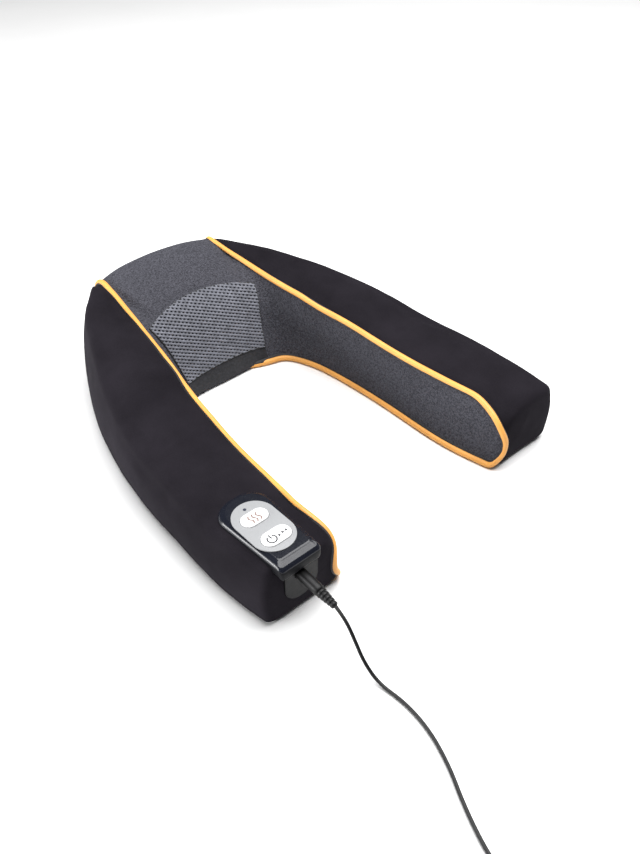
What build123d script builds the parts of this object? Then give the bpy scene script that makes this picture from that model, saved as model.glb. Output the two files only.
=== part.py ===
from build123d import *
import math
import os

# U-shaped massaging neck cushion lying flat: X across, the U opens towards -Y, +Z up.
# The origin is on the floor under the middle of the cushion. All lengths are millimetres.
os.makedirs("parts", exist_ok=True)

# ---------------------------------------------------------------- cushion
# Vertical cross-sections of the right half, from the middle of the neck to the arm's end.
# Each row: inner foot x, y, outer foot x, y, setback and height of the inner top corner,
# setback and height of the outer top corner, inner top corner radius, distance of the
# piping from the inner foot.
SECTIONS = [
    (0, 69, 0, 221, 41, 84, 6, 99.5, 40, None),
    (41, 69, 73, 206, 41, 85, 6, 97, 36, 132),
    (62, 66, 108, 181, 36, 86, 9, 91.5, 28, 64),
    (76, 54, 140, 125, 14, 85, 12, 89, 12, 26),
    (85, 31, 160, 69, 7, 80, 8, 83, 8, 15),
    (90, 1, 173, 12, 5, 72, 4, 75, 5, 10),
    (93, -47, 180, -42, 7, 65, 3, 68, 5, 12),
    (93, -102, 184, -102, 13, 62, 2, 62, 5, 18),
    (94, -162, 186, -162, 14, 62, 3, 62, 5, 19),
    (102, -206, 181, -206, 5, 60, 2, 61, 5, 10),
]
NECK_ROWS = 4            # rows 0 to 3 are the neck, row 3 onwards is the arm
RIDGE_ROW = 1            # the piping crosses the neck's back ridge at this row
END_ROUND = 7            # rounding of the arm's end face
CORNER = 12              # rounding of the outer corners
FOOT = 6                 # rounding of the inner foot
CORNER_STEPS = 4
COVER = 2.0              # cover fabric and its backing
FOAM_GAP = 0.3

PIPING_R = 2.7
# Upper seam, round the arm's end, lower seam and into the neck's foot.
PIPING = [
    (66, 209, 8), (67, 210.5, 50), (66, 209, 82), (65, 201, 97), (67, 172, 98.5), (72, 140, 95.5),
    (79, 108, 91.5), (85, 75, 87), (91, 35, 80), (95, 0, 73.5), (101, -48, 66.5), (106, -102, 63),
    (109.5, -145, 63), (111.5, -175, 62.5), (111, -202, 57.5), (107.5, -214.5, 43), (104, -214.5, 16),
    (99.5, -205, 4),
    (93, -170, 3), (92, -102, 3), (91.5, -47, 3), (89, 0, 3), (84, 30, 3), (74.5, 52, 3), (60, 65, 3),
    (42, 67.5, 3),
]

# Heights of the mesh panel's lower and upper edges, which are arcs, and its half widths there.
MESH_FOOT = 16
MESH_FOOT_MIDDLE = 20
MESH_TOP = 77
MESH_TOP_MIDDLE = 85
MESH_HALF_FOOT = 51
MESH_HALF_TOP = 67
MESH_DEPTH = 130         # the panel lies wholly in front of this y

# ---------------------------------------------------------------- massage unit
UNIT_AT = (0, 97, 48)    # on the neck's front face, between the two heads
UNIT_TILT = 27           # lean of the front face from the vertical
MODULE = 1.0
WHEEL_TEETH = 40
WHEEL_R = MODULE * WHEEL_TEETH / 2
WORM_R = 5
WORM_LEAD = math.pi * MODULE
WORM_TURNS = 5
HEAD_X = WHEEL_R + WORM_R
WHEEL_W = (-34, -26)     # depth range of the worm wheels behind the front face
WORM_W = -30             # depth of the motor's axis
TRAY_W = (-42, -24)
TRAY_R = 24.5
TRAY_WALL = 2
LID_W = (-24, -21.5)
LUG_AT = (45, 18)
LUG_R = 3.6
SPINDLE_R = 3
RUN_FIT = 0.05
HEAD_R = 19
HEAD_W = (-18, -13)
KNOB_R = 8
KNOB_OUT = 11
KNOB_TIP_W = -5
MOTOR_R = 12
MOTOR_V = (19, 43)
MOTOR_WALL = 1
SHAFT_R = 1.5

# ---------------------------------------------------------------- controller on the left arm
CTRL_X = -149.8
CTRL_HALF_BACK = 25.4    # the box narrows towards its front
CTRL_HALF_FRONT = 20.6
CTRL_BACK = -133
CTRL_FRONT = -221
CTRL_TOP = 72
CTRL_FOOT = 62.5
CTRL_WALL = 2
CTRL_BACK_R = 20
LIP_FOOT = 57            # the front overhang comes down to this height
END_FACE = -213
TONGUE_X = -146
TONGUE_FOOT = 18.5
TONGUE_HALF = 17
TONGUE_THICK = 2.5
HOOD_INSET = 4           # sides of the hood over the plug, in from the box's front corners
HOOD_ROOF = 6
SCREW_ACROSS = 15        # clamp screws, either side of the box's middle
SCREW_ALONG = (-198, -150)
BOARD_HALF = 18.5
CHIPS = [(0, -179.5, 8, 7, 1.6), (11, -177, 6, 6, 2.2), (-12, -178, 6, 6, 2.2)]  # x, y, sizes, height
CLAMP_HALF = 20
CLAMP_LONG = (-204, -140)
CLAMP_Z = (55, 57.4)
SHANK_Z = (53.6, 64.2)
PLATE_X = -152
PLATE_Y = -177
PLATE_LONG = 60.7
PLATE_WIDE = 37.8
PLATE_THICK = 1.0
HEAT_AT = (-152.3, -166)
MASSAGE_AT = (-151.7, -192.5)
HEAT_SIZE = (25, 14.5)
MASSAGE_SIZE = (27, 15.5)
BUTTON_GAP = 0.35
BUTTON_TOP = 74.2
BUTTON_TRAVEL = 0.8
LED_AT = (-152.5, -153.5)
LED_R = 1.5
CLAMP_SCREW_R = 1.5
BOARD_Z = (64.9, 66.3)
SWITCH_TOP = 69.0

# ---------------------------------------------------------------- lead and adapter
SOCKET_AT = (-148, -213, 46.5)
PLUG_R = 5
PLUG_END = -240
RELIEF_END = -257
CORD_R = 1.5
CORD_ROUTE = [
    (-148, -257, 45), (-148.6, -269, 41), (-150, -281, 28), (-151, -293, 13), (-150, -309, 1.8),
    (-147, -333, 1.8), (-150, -360, 1.8), (-160, -388, 1.8), (-174, -414, 1.8), (-185, -440, 1.8),
    (-190, -459, 1.8), (-191.5, -476, 1.8),
]
COIL_AT = (-214, -486)
COIL_R = 24.5            # outside of the coil
COIL_TUBE = 6.5          # half the thickness of the bundle of turns
ADAPTER_ROUTE = [
    (-219, -512.2, 2.2), (-238, -511, 4.5), (-255, -507, 9), (-265, -498, 14),
    (-268, -486, 17), (-268, -476, 17),
]
ADAPTER_AT = (-268, -438)
ADAPTER_SIZE = (30, 52, 34)
ADAPTER_RELIEF = 12


def write(node, *solids):
    """Write one node's solids to its own STEP file."""
    kept = [s for shape in solids for s in shape.solids()]
    export_step(Compound(label=node, children=kept), f"parts/{node}.step")


def rounded_path(points, share=0.45):
    """Straight runs joined by tangent arcs as large as the runs allow."""
    pts = [Vector(*p) for p in points]
    radii = []
    for a, b, c in zip(pts, pts[1:], pts[2:]):
        half_turn = math.radians((b - a).get_angle(c - b)) / 2
        run = min((b - a).length, (c - b).length)
        radii.append(share * run / math.tan(half_turn))
    return FilletPolyline(*pts, radius=radii), radii


def tube(points, radius):
    """A round tube along a path of runs and arcs."""
    path, radii = rounded_path(points)
    section = Plane(origin=path @ 0, z_dir=path % 0) * Circle(radius)
    return sweep(section, path=path), radii, path.length


def mirrored(shape):
    """The same shape on the other side of the cushion."""
    return mirror(shape, about=Plane.YZ)


# ================================================================ cushion
def corner_arc(before, corner, after, radius):
    """Points of the curve that rounds one corner of a cross-section."""
    b = Vector(*corner)
    start = b + (Vector(*before) - b).normalized() * radius
    end = b + (Vector(*after) - b).normalized() * radius
    steps = [i / CORNER_STEPS for i in range(CORNER_STEPS + 1)]
    return [start * (1 - t) ** 2 + b * (2 * t * (1 - t)) + end * t ** 2 for t in steps]


def section_points(row, inset, shift=0.0):
    """Rounded cross-section as named stretches of points, in the section's own plane."""
    xi, yi, xo, yo, set_in, z_in, set_out, z_out, r_in, seam = row
    width = math.hypot(xo - xi, yo - yi)
    foot_in = (inset, inset)
    top_in = (set_in + inset, z_in - inset)
    top_out = (width - set_out - inset, z_out - inset)
    foot_out = (width - inset, inset)
    inner_foot = corner_arc(foot_out, foot_in, top_in, FOOT)
    inner_top = corner_arc(foot_in, top_in, top_out, r_in)
    outer_top = corner_arc(top_in, top_out, foot_out, CORNER)
    outer_foot = corner_arc(top_out, foot_out, foot_in, CORNER)
    ux, uy = (xo - xi) / width, (yo - yi) / width

    def place(points):
        return [Vector(xi + p.X * ux, yi + p.X * uy + shift, p.Y) for p in points]

    if seam is None:
        seam = width / 2
    low, high = inner_top[-1], outer_top[0]
    along = min(max(seam, low.X + 1.5), high.X - 1.5)
    pipe = [low + (high - low) * ((along - low.X) / (high.X - low.X))]
    return [place(part) for part in (inner_foot, inner_top, pipe, outer_top, outer_foot)]


def rows_with_end(rows, inset=0.0):
    """The given rows, and two more that round the arm's end face: (row, extra inset, shift)."""
    steps = [(row, 0.0, 0.0) for row in rows]
    if rows[-1] is SECTIONS[-1]:
        reach = END_ROUND - inset
        steps.append((rows[-1], END_ROUND * 0.3, -reach * 0.7))
        steps.append((rows[-1], END_ROUND * 0.9, -reach))
    return steps


def loft_loops(loops):
    """A solid through closed polygons that have the same number of points."""
    return Solid.make_loft([Wire.make_polygon(points, close=True) for points in loops], ruled=True)


def full_loop(row, inset, extra=0.0, shift=0.0):
    inner_foot, inner_top, pipe, outer_top, outer_foot = section_points(row, inset + extra, shift)
    return inner_foot + inner_top + pipe + outer_top + outer_foot


def body(rows, inset):
    """A solid through the rows' whole cross-sections."""
    steps = rows_with_end(rows, inset)
    return loft_loops([full_loop(row, inset, extra, shift) for row, extra, shift in steps])


def grey_strip(row, extra, shift):
    """Cross-section of the inner cover: from the inner foot up to the piping."""
    outside, inside = [
        foot[1:] + top + pipe
        for foot, top, pipe, _, _ in (section_points(row, inset + extra, shift) for inset in (0, COVER))
    ]
    return outside + inside[::-1]


def black_strip(row, extra, shift):
    """Cross-section of an arm cover: from the piping over the outside and under the arm."""
    outside, inside = [
        pipe + top + foot + inner[:1]
        for inner, _, pipe, top, foot in (section_points(row, inset + extra, shift) for inset in (0, COVER))
    ]
    return outside + inside[::-1]


def mirror_row(row):
    return (-row[0], row[1], -row[2]) + row[3:]


def neck_rows(last):
    """Rows across the neck, from the left side to the right side."""
    left = [mirror_row(row) for row in SECTIONS[last:0:-1]]
    return left + SECTIONS[: last + 1]


def make_covers():
    arm = SECTIONS[RIDGE_ROW:]
    black = loft_loops([black_strip(*step) for step in rows_with_end(arm)])
    end_loop = full_loop(SECTIONS[-1], 0, END_ROUND * 0.9, -END_ROUND)
    end_plate = extrude(Face(Wire.make_polygon(end_loop, close=True)), amount=COVER, dir=(0, 1, 0))
    black = black + end_plate
    grey = loft_loops([grey_strip(*step) for step in rows_with_end(arm)]) - end_plate
    ring = body(neck_rows(RIDGE_ROW), 0) - body(neck_rows(RIDGE_ROW), COVER)
    inner = ring + grey + mirrored(grey)
    foot_left, foot_right = (-MESH_HALF_FOOT, MESH_FOOT), (MESH_HALF_FOOT, MESH_FOOT)
    top_left, top_right = (-MESH_HALF_TOP, MESH_TOP), (MESH_HALF_TOP, MESH_TOP)
    fan = Curve() + [
        ThreePointArc(foot_left, (0, MESH_FOOT_MIDDLE), foot_right),
        Line(foot_right, top_right),
        ThreePointArc(top_right, (0, MESH_TOP_MIDDLE), top_left),
        Line(top_left, foot_left),
    ]
    fan_block = extrude(Plane.XZ * make_face(fan), amount=-MESH_DEPTH)
    strip_height = MESH_FOOT_MIDDLE + 1
    strip_at = Pos(0, MESH_DEPTH / 2, strip_height / 2)
    strip_block = strip_at * Box(2 * MESH_HALF_FOOT, MESH_DEPTH, strip_height) - fan_block
    strip_block -= Pos(0, MESH_DEPTH / 2, 0) * Box(2 * MESH_HALF_FOOT, MESH_DEPTH, 2 * FOOT + 2)
    write("mesh_panel", inner & fan_block)
    write("front_strip", inner & strip_block)
    write("inner_cover", inner - fan_block - strip_block)
    write("arm_cover_right", black)
    left = mirrored(black) - plug_hole(1.5)
    for x, y in screw_places():
        left -= Pos(x, y, 60) * Cylinder(CLAMP_SCREW_R, 12)
    write("arm_cover_left", left)


def make_piping():
    right, _, _ = tube(PIPING, PIPING_R)
    write("piping_right", right)
    write("piping_left", mirrored(right))


# ================================================================ massage unit
UNIT = Plane(
    origin=UNIT_AT,
    x_dir=(1, 0, 0),
    z_dir=(0, -math.cos(math.radians(UNIT_TILT)), math.sin(math.radians(UNIT_TILT))),
)


def in_unit(shape):
    """Move a shape from the massage unit's own axes to its place in the neck."""
    return UNIT.location * shape


def disc(x, y, radius, low, high):
    """A cylinder along the unit's depth axis."""
    return Pos(x, y, (low + high) / 2) * Cylinder(radius, high - low)


def shaft_piece(radius, low, high):
    """A cylinder along the motor's axis."""
    return Pos(0, (low + high) / 2, WORM_W) * Rot(-90, 0, 0) * Cylinder(radius, high - low)


def block(x, y, z):
    """A box from three (low, high) ranges."""
    size = [high - low for low, high in (x, y, z)]
    middle = [(high + low) / 2 for low, high in (x, y, z)]
    return Pos(*middle) * Box(*size)


def stadium(radius, low, high):
    shape = SlotCenterToCenter(2 * HEAD_X, 2 * radius)
    return Pos(0, 0, low) * extrude(shape, amount=high - low)


def lug_places():
    return [(sx * LUG_AT[0], sy * LUG_AT[1]) for sx in (-1, 1) for sy in (-1, 1)]


def make_gearbox():
    room = MOTOR_R + 0.5
    bay_depth = room + 1.5
    bay_outer = ((-bay_depth, bay_depth), (MOTOR_V[0] - 1.5, MOTOR_V[1] + 2))
    bay_inner = ((-room, room), (MOTOR_V[0] - 0.5, MOTOR_V[1] + 0.5))
    tray = stadium(TRAY_R, *TRAY_W) + block(*bay_outer, (WORM_W - bay_depth, TRAY_W[1]))
    lid = stadium(TRAY_R, *LID_W) + block(*bay_outer, (LID_W[0], WORM_W + bay_depth))
    for x, y in lug_places():
        tray += disc(x, y, LUG_R, TRAY_W[0] + 6, TRAY_W[1])
        lid += disc(x, y, LUG_R, *LID_W)
    tray -= stadium(TRAY_R - TRAY_WALL, TRAY_W[0] + TRAY_WALL, TRAY_W[1])
    hollow = block(*bay_inner, (WORM_W - room, WORM_W + room))
    slot = block((-7, 7), (-16, MOTOR_V[0]), (WORM_W - 7, TRAY_W[1]))
    tray -= hollow + slot
    lid -= hollow
    foot_post = block((-4, 4), (-21, -13), (TRAY_W[0] + TRAY_WALL, TRAY_W[1] - 0.2))
    tray += foot_post - shaft_piece(3, -22, -12)
    for side in (-1, 1):
        tray += disc(side * HEAD_X, 0, 6, TRAY_W[0] + TRAY_WALL, TRAY_W[0] + 6)
        tray -= disc(side * HEAD_X, 0, 4.5, TRAY_W[0] + 1, TRAY_W[0] + 6)
        lid += disc(side * HEAD_X, 0, 7, *LID_W)
        lid -= disc(side * HEAD_X, 0, 4.5, *LID_W)
    screws = []
    for x, y in lug_places():
        hole = disc(x, y, 1.2, TRAY_W[0] + 10, LID_W[1])
        tray -= hole
        lid -= hole
        head = disc(x, y, 2.6, LID_W[1], LID_W[1] + 1.6) - disc(x, y, 0.9, LID_W[1] + 0.6, LID_W[1] + 1.6)
        screws.append(disc(x, y, 1.2, TRAY_W[0] + 10, LID_W[1]) + head)
    write("gearbox_tray", in_unit(tray))
    write("gearbox_lid", in_unit(lid))
    write("gearbox_screws", *[in_unit(s) for s in screws])
    bushes = []
    for side in (-1, 1):
        for low, high in ((TRAY_W[0] + 1, TRAY_W[0] + 6), LID_W):
            ring = disc(side * HEAD_X, 0, 4.5, low, high)
            bushes.append(ring - disc(side * HEAD_X, 0, SPINDLE_R + RUN_FIT, low, high))
    write("spindle_bushes", *[in_unit(b) for b in bushes])
    shaft_bush = shaft_piece(3, -21, -13) - shaft_piece(SHAFT_R + RUN_FIT, -18, -13)
    write("shaft_end_bush", in_unit(shaft_bush))


def gear_outline():
    """Straight-sided wheel teeth as one closed polygon."""
    points = []
    pitch = 2 * math.pi / WHEEL_TEETH
    for i in range(WHEEL_TEETH):
        middle = i * pitch
        for radius, offset in (
            (WHEEL_R - 1.3 * MODULE, -0.36), (WHEEL_R + 0.8 * MODULE, -0.11),
            (WHEEL_R + 0.8 * MODULE, 0.11), (WHEEL_R - 1.3 * MODULE, 0.36),
        ):
            angle = middle + offset * pitch
            points.append((radius * math.cos(angle), radius * math.sin(angle)))
    return points


def make_wheel(side):
    """A worm wheel, the left one turned half a tooth because the thread is half a lead away there."""
    teeth = extrude(make_face(Polyline(*gear_outline(), close=True)), amount=WHEEL_W[1] - WHEEL_W[0])
    phase = 180 / WHEEL_TEETH if side < 0 else 0
    wheel = Pos(side * HEAD_X, 0, WHEEL_W[0]) * Rot(0, 0, phase) * teeth
    middle = (WHEEL_W[0] + WHEEL_W[1]) / 2
    for low, high in ((WHEEL_W[0], middle - 1.5), (middle + 1.5, WHEEL_W[1])):
        wheel -= disc(side * HEAD_X, 0, 16, low, high) - disc(side * HEAD_X, 0, 6, low, high)
    return wheel - disc(side * HEAD_X, 0, SPINDLE_R, *WHEEL_W)


def make_worm():
    """A single-start thread on a core."""
    half = WORM_TURNS * WORM_LEAD / 2
    core = shaft_piece(WORM_R - 1.3, -half - 1, half + 1)
    helix = Helix(pitch=WORM_LEAD, height=WORM_TURNS * WORM_LEAD, radius=WORM_R - 1.5)
    root, crest = 0.30 * WORM_LEAD, 0.11 * WORM_LEAD
    profile = Polyline((0, -root), (2.4, -crest), (2.4, crest), (0, root), close=True)
    start = Plane(origin=helix @ 0, x_dir=(1, 0, 0), z_dir=helix % 0)
    thread = sweep(start * make_face(profile), path=helix, is_frenet=True)
    thread = Pos(0, -half, WORM_W) * Rot(-90, 0, 0) * thread
    return core + thread - shaft_piece(SHAFT_R, -half - 1, half + 1)


def make_motor():
    low, high = MOTOR_V
    can = shaft_piece(MOTOR_R, low, high - 3) - shaft_piece(MOTOR_R - MOTOR_WALL, low + 1, high - 3)
    can -= shaft_piece(2.6, low, low + 1)
    cap = shaft_piece(MOTOR_R, high - 3, high) - shaft_piece(2.6, high - 3, high - 1)
    write("motor_can", in_unit(can))
    write("motor_end_cap", in_unit(cap))
    ring = shaft_piece(MOTOR_R - MOTOR_WALL, low + 4, high - 7) - shaft_piece(9.3, low + 4, high - 7)
    gap = block((-2, 2), (low, high), (WORM_W - MOTOR_R, WORM_W + MOTOR_R))
    write("motor_magnets", in_unit(ring - gap))
    bushes = [
        shaft_piece(2.6, low, low + 1) - shaft_piece(SHAFT_R + RUN_FIT, low, low + 1),
        shaft_piece(2.6, high - 3, high - 1) - shaft_piece(SHAFT_R + RUN_FIT, high - 3, high - 1),
    ]
    write("motor_bushes", *[in_unit(b) for b in bushes])
    core = shaft_piece(8.8, low + 5, high - 9)
    for i in range(5):
        slot = block((-0.8, 0.8), (low + 5, high - 9), (3.5, 10))
        core -= Pos(0, 0, WORM_W) * (Rot(0, 72 * i, 0) * slot)
    write("rotor_core", in_unit(core - shaft_piece(SHAFT_R, low, high)))
    commutator = shaft_piece(3, high - 8, high - 4) - shaft_piece(SHAFT_R, high - 8, high - 4)
    write("commutator", in_unit(commutator))
    write("motor_shaft", in_unit(shaft_piece(SHAFT_R, -17, high - 1.5)))
    write("worm", in_unit(make_worm()))


def make_head(side, name):
    x = side * HEAD_X
    spindle = disc(x, 0, SPINDLE_R, TRAY_W[0] + 1.5, HEAD_W[1] - 1.5)
    plate = disc(x, 0, HEAD_R, *HEAD_W)
    plate = fillet(plate.edges().group_by(Axis.Z)[-1], 1.5)
    plate -= disc(x, 0, SPINDLE_R, HEAD_W[0], HEAD_W[1] - 1.5)
    plate += disc(x, 0, 6, HEAD_W[0] - 2, HEAD_W[0]) - disc(x, 0, SPINDLE_R, HEAD_W[0] - 2, HEAD_W[0])
    plate -= disc(x, 0, 1.0, HEAD_W[1] - 1.5, HEAD_W[1])
    spindle -= disc(x, 0, 1.0, HEAD_W[1] - 8, HEAD_W[1] - 1.5)
    screw = disc(x, 0, 1.0, HEAD_W[1] - 8, HEAD_W[1]) + disc(x, 0, 3, HEAD_W[1], HEAD_W[1] + 1.5)
    screw -= disc(x, 0, 0.8, HEAD_W[1] + 0.5, HEAD_W[1] + 1.5)
    knobs = []
    for turn in (-1, 1):
        knob = disc(x, turn * KNOB_OUT, KNOB_R, HEAD_W[1], KNOB_TIP_W)
        knobs.append(fillet(knob.edges().group_by(Axis.Z)[-1], 5.5))
    write(f"worm_wheel_{name}", in_unit(make_wheel(side)))
    write(f"spindle_{name}", in_unit(spindle))
    write(f"head_plate_{name}", in_unit(plate))
    write(f"head_screw_{name}", in_unit(screw))
    write(f"massage_knobs_{name}", *[in_unit(k) for k in knobs])


def unit_space():
    """The room that the massage unit takes out of the neck's foam."""
    space = stadium(TRAY_R + 1, TRAY_W[0] - 3.5, 12)
    space += block((-50.5, 50.5), (-22.5, 22.5), (TRAY_W[0] - 3.5, 12))
    space += block((-16, 16), (0, MOTOR_V[1] + 4), (WORM_W - MOTOR_R - 4, WORM_W + MOTOR_R + 4))
    return in_unit(space)


def make_heater():
    """Heating film between the two heads' openings, with its safety cut-out on the back."""
    low, high = -20.5, -20.2
    film = stadium(TRAY_R - 0.5, low + 0.8, high + 0.8)
    for side in (-1, 1):
        film -= disc(side * HEAD_X, 0, 12, low, high + 1)
    for x, y in lug_places():
        film -= disc(x, y, 5, low, high + 1)
    film -= block((-16, 16), (MOTOR_V[0] - 4, TRAY_R + 1), (low, high + 1))
    write("heater_film", in_unit(film))
    cut_out = block((-4, 4), (-20, -10), (high + 0.8, high + 3.3))
    write("thermal_cut_out", in_unit(cut_out))


# ================================================================ wiring inside the arm
HARNESS_R = 2.0
HARNESS = [
    (-138, -166, 52), (-138, -140, 46), (-137, -95, 40), (-135, -45, 38), (-126, 5, 38),
    (-112, 50, 38), (-90, 88, 40), (-58, 108, 44),
]


def make_foam():
    channel, _, _ = tube(HARNESS, HARNESS_R + 0.4)
    harness, _, _ = tube(HARNESS, HARNESS_R)
    whole_neck = body(neck_rows(NECK_ROWS - 1), COVER + FOAM_GAP)
    arm = body(SECTIONS[NECK_ROWS - 1:], COVER + FOAM_GAP)
    plate_room = block((-173, -129), (-205, -139), (48, 61))
    socket_room = block((-156, -140), (-214, -192), (38, 56))
    write("neck_foam", whole_neck - unit_space() - channel)
    write("arm_foam_right", arm)
    write("arm_foam_left", mirrored(arm) - channel - plate_room - socket_room)
    write("wire_harness", harness)


# ================================================================ controller
def ctrl_outline(inset):
    """Plan of the control box: narrow square front, wide rounded back."""
    front, back = CTRL_FRONT + inset, CTRL_BACK - inset
    near, far = CTRL_HALF_FRONT - inset, CTRL_HALF_BACK - inset
    corners = [(-near, front), (near, front), (far, back), (-far, back)]
    shape = Pos(CTRL_X, 0) * make_face(Polyline(*corners, close=True))
    rear = shape.vertices().group_by(Axis.Y)[-1]
    shape = fillet(rear, CTRL_BACK_R - inset)
    corners = shape.vertices().group_by(Axis.Y)[0]
    return fillet(corners, max(4 - inset, 1))


def oval(at, size, low, high, grow=0.0):
    """An oval block with its long side across the arm."""
    shape = Pos(*at) * SlotOverall(size[0] + 2 * grow, size[1] + 2 * grow)
    return Pos(0, 0, low) * extrude(shape, amount=high - low)


def make_control_box():
    height = CTRL_TOP - CTRL_FOOT
    upper = Pos(0, 0, CTRL_FOOT) * extrude(ctrl_outline(0), amount=height)
    half = CTRL_HALF_FRONT - HOOD_INSET
    hood_y = (CTRL_FRONT, END_FACE - TONGUE_THICK)
    upper += block((CTRL_X - half, CTRL_X + half), hood_y, (LIP_FOOT, CTRL_TOP - HOOD_ROOF))
    upper = fillet(upper.faces().sort_by(Axis.Z)[-1].edges(), 2.5)
    upper -= Pos(0, 0, CTRL_FOOT) * extrude(ctrl_outline(CTRL_WALL), amount=height - CTRL_WALL)
    for at, size in ((HEAT_AT, HEAT_SIZE), (MASSAGE_AT, MASSAGE_SIZE)):
        upper -= oval(at, size, CTRL_TOP - 3, CTRL_TOP + 1, BUTTON_GAP)
    upper -= Pos(*LED_AT, CTRL_TOP) * Cylinder(LED_R, 6)
    write("control_box_lid", upper)

    plate = Pos(PLATE_X, PLATE_Y, CTRL_TOP) * extrude(
        Rot(0, 0, 90) * SlotOverall(PLATE_LONG, PLATE_WIDE), amount=PLATE_THICK)
    for at, size in ((HEAT_AT, HEAT_SIZE), (MASSAGE_AT, MASSAGE_SIZE)):
        plate -= oval(at, size, CTRL_TOP - 1, CTRL_TOP + 3, BUTTON_GAP)
    plate -= Pos(*LED_AT, CTRL_TOP) * Cylinder(LED_R, 6)
    write("face_plate", plate)

    base = Pos(0, 0, CTRL_FOOT) * extrude(ctrl_outline(CTRL_WALL + 0.15), amount=1.8)
    tongue_y = (END_FACE - TONGUE_THICK, END_FACE)
    tongue_x = (TONGUE_X - TONGUE_HALF, TONGUE_X + TONGUE_HALF)
    tongue = block(tongue_x, tongue_y, (TONGUE_FOOT + TONGUE_HALF, CTRL_FOOT))
    foot = Pos(TONGUE_X, sum(tongue_y) / 2, TONGUE_FOOT + TONGUE_HALF) * Rot(90, 0, 0)
    tongue += foot * Cylinder(TONGUE_HALF, TONGUE_THICK)
    neck_x = (CTRL_X - SCREW_ACROSS, CTRL_X + SCREW_ACROSS)
    neck = block(neck_x, tongue_y, (CTRL_FOOT - 1, CTRL_FOOT + 1.8))
    base = base + tongue + neck
    base -= plug_hole(0.4)
    for x, y in screw_places():
        base -= Pos(x, y, CTRL_FOOT) * Cylinder(CLAMP_SCREW_R, 6)
    write("control_box_base", base)


def screw_places():
    return [(CTRL_X + side * SCREW_ACROSS, y) for side in (-1, 1) for y in SCREW_ALONG]


def plug_hole(clearance):
    """The way through the cover and the base for the plug."""
    x, y, z = SOCKET_AT
    return Pos(x, y, z) * Rot(90, 0, 0) * Cylinder(PLUG_R + clearance, 12)


def make_control_parts():
    caps = (("heat_button", HEAT_AT, HEAT_SIZE), ("massage_button", MASSAGE_AT, MASSAGE_SIZE))
    for node, at, size in caps:
        cap = oval(at, size, CTRL_TOP - 1.6, BUTTON_TOP)
        cap = fillet(cap.edges().group_by(Axis.Z)[-1], 0.9)
        stem = Pos(*at, (SWITCH_TOP + 0.9 + CTRL_TOP - 1.6) / 2) * Cylinder(2, CTRL_TOP - 2.5 - SWITCH_TOP)
        write(node, cap + stem)
    board_y = (END_FACE + 9, CTRL_BACK - 10)
    board = block((CTRL_X - BOARD_HALF, CTRL_X + BOARD_HALF), board_y, BOARD_Z)
    board = fillet(board.edges().filter_by(Axis.Z), 6)
    for x, y in screw_places():
        board -= Pos(x, y, BOARD_Z[0]) * Cylinder(2.4, 6)
    write("control_board", board)
    switches = []
    for at in (HEAT_AT, MASSAGE_AT):
        switch = block((at[0] - 3, at[0] + 3), (at[1] - 3, at[1] + 3), (BOARD_Z[1], SWITCH_TOP - 0.6))
        switches.append(switch + Pos(*at, SWITCH_TOP - 0.4) * Cylinder(1.6, 0.8))
    write("button_switches", *switches)
    chips = []
    for x, y, wide, long, tall in CHIPS:
        chips.append(Pos(CTRL_X + x, y, BOARD_Z[1] + tall / 2) * Box(wide, long, tall))
    write("board_chips", *chips)
    led = Pos(*LED_AT, (BOARD_Z[1] + CTRL_TOP + PLATE_THICK) / 2) * Cylinder(
        LED_R, CTRL_TOP + PLATE_THICK - BOARD_Z[1])
    write("indicator_led", led)
    clamp = block((CTRL_X - CLAMP_HALF, CTRL_X + CLAMP_HALF), CLAMP_LONG, CLAMP_Z)
    clamp = fillet(clamp.edges().filter_by(Axis.Z), 6)
    screws = []
    for x, y in screw_places():
        clamp -= Pos(x, y, CLAMP_Z[0]) * Cylinder(CLAMP_SCREW_R, 6)
        shank = Pos(x, y, sum(SHANK_Z) / 2) * Cylinder(CLAMP_SCREW_R, SHANK_Z[1] - SHANK_Z[0])
        head = Pos(x, y, SHANK_Z[0] + 0.6) * Cylinder(3, 1.6) - Pos(x, y, SHANK_Z[0]) * Cylinder(1, 1.6)
        screws.append(shank + head)
    write("clamp_plate", clamp)
    write("clamp_screws", *screws)
    x, _, z = SOCKET_AT
    socket = block((x - 6, x + 6), (END_FACE + COVER + 0.2, -196), (z - 6, z + 6))
    bore = Pos(x, (END_FACE - 203) / 2, z) * Rot(90, 0, 0) * Cylinder(3.2, abs(END_FACE + 203))
    pin = Pos(x, (END_FACE - 200) / 2, z) * Rot(90, 0, 0) * Cylinder(1.0, 10)
    write("power_socket", socket - bore)
    write("socket_pin", pin)


# ================================================================ lead, plug, coil and adapter
def round_piece(points, origin, direction):
    """Turn a half profile of (distance along, radius) about an axis."""
    outline = [(0, points[0][0])] + [(r, d) for d, r in points] + [(0, points[-1][0])]
    profile = make_face(Polyline(*outline, close=True))
    turned = revolve(Plane.XZ * profile, Axis.Z, 360)
    return Plane(origin=origin, z_dir=direction).location * turned


def rib_profile(start, end, r0, r1, ribs):
    """Half profile of a ribbed, tapering strain relief."""
    points = []
    step = (end - start) / ribs
    for i in range(ribs):
        at = start + i * step
        r = r0 + (r1 - r0) * i / ribs
        points += [(at, r), (at + step * 0.6, r), (at + step * 0.6, r - 0.9), (at + step, r - 0.9)]
    return points


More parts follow.
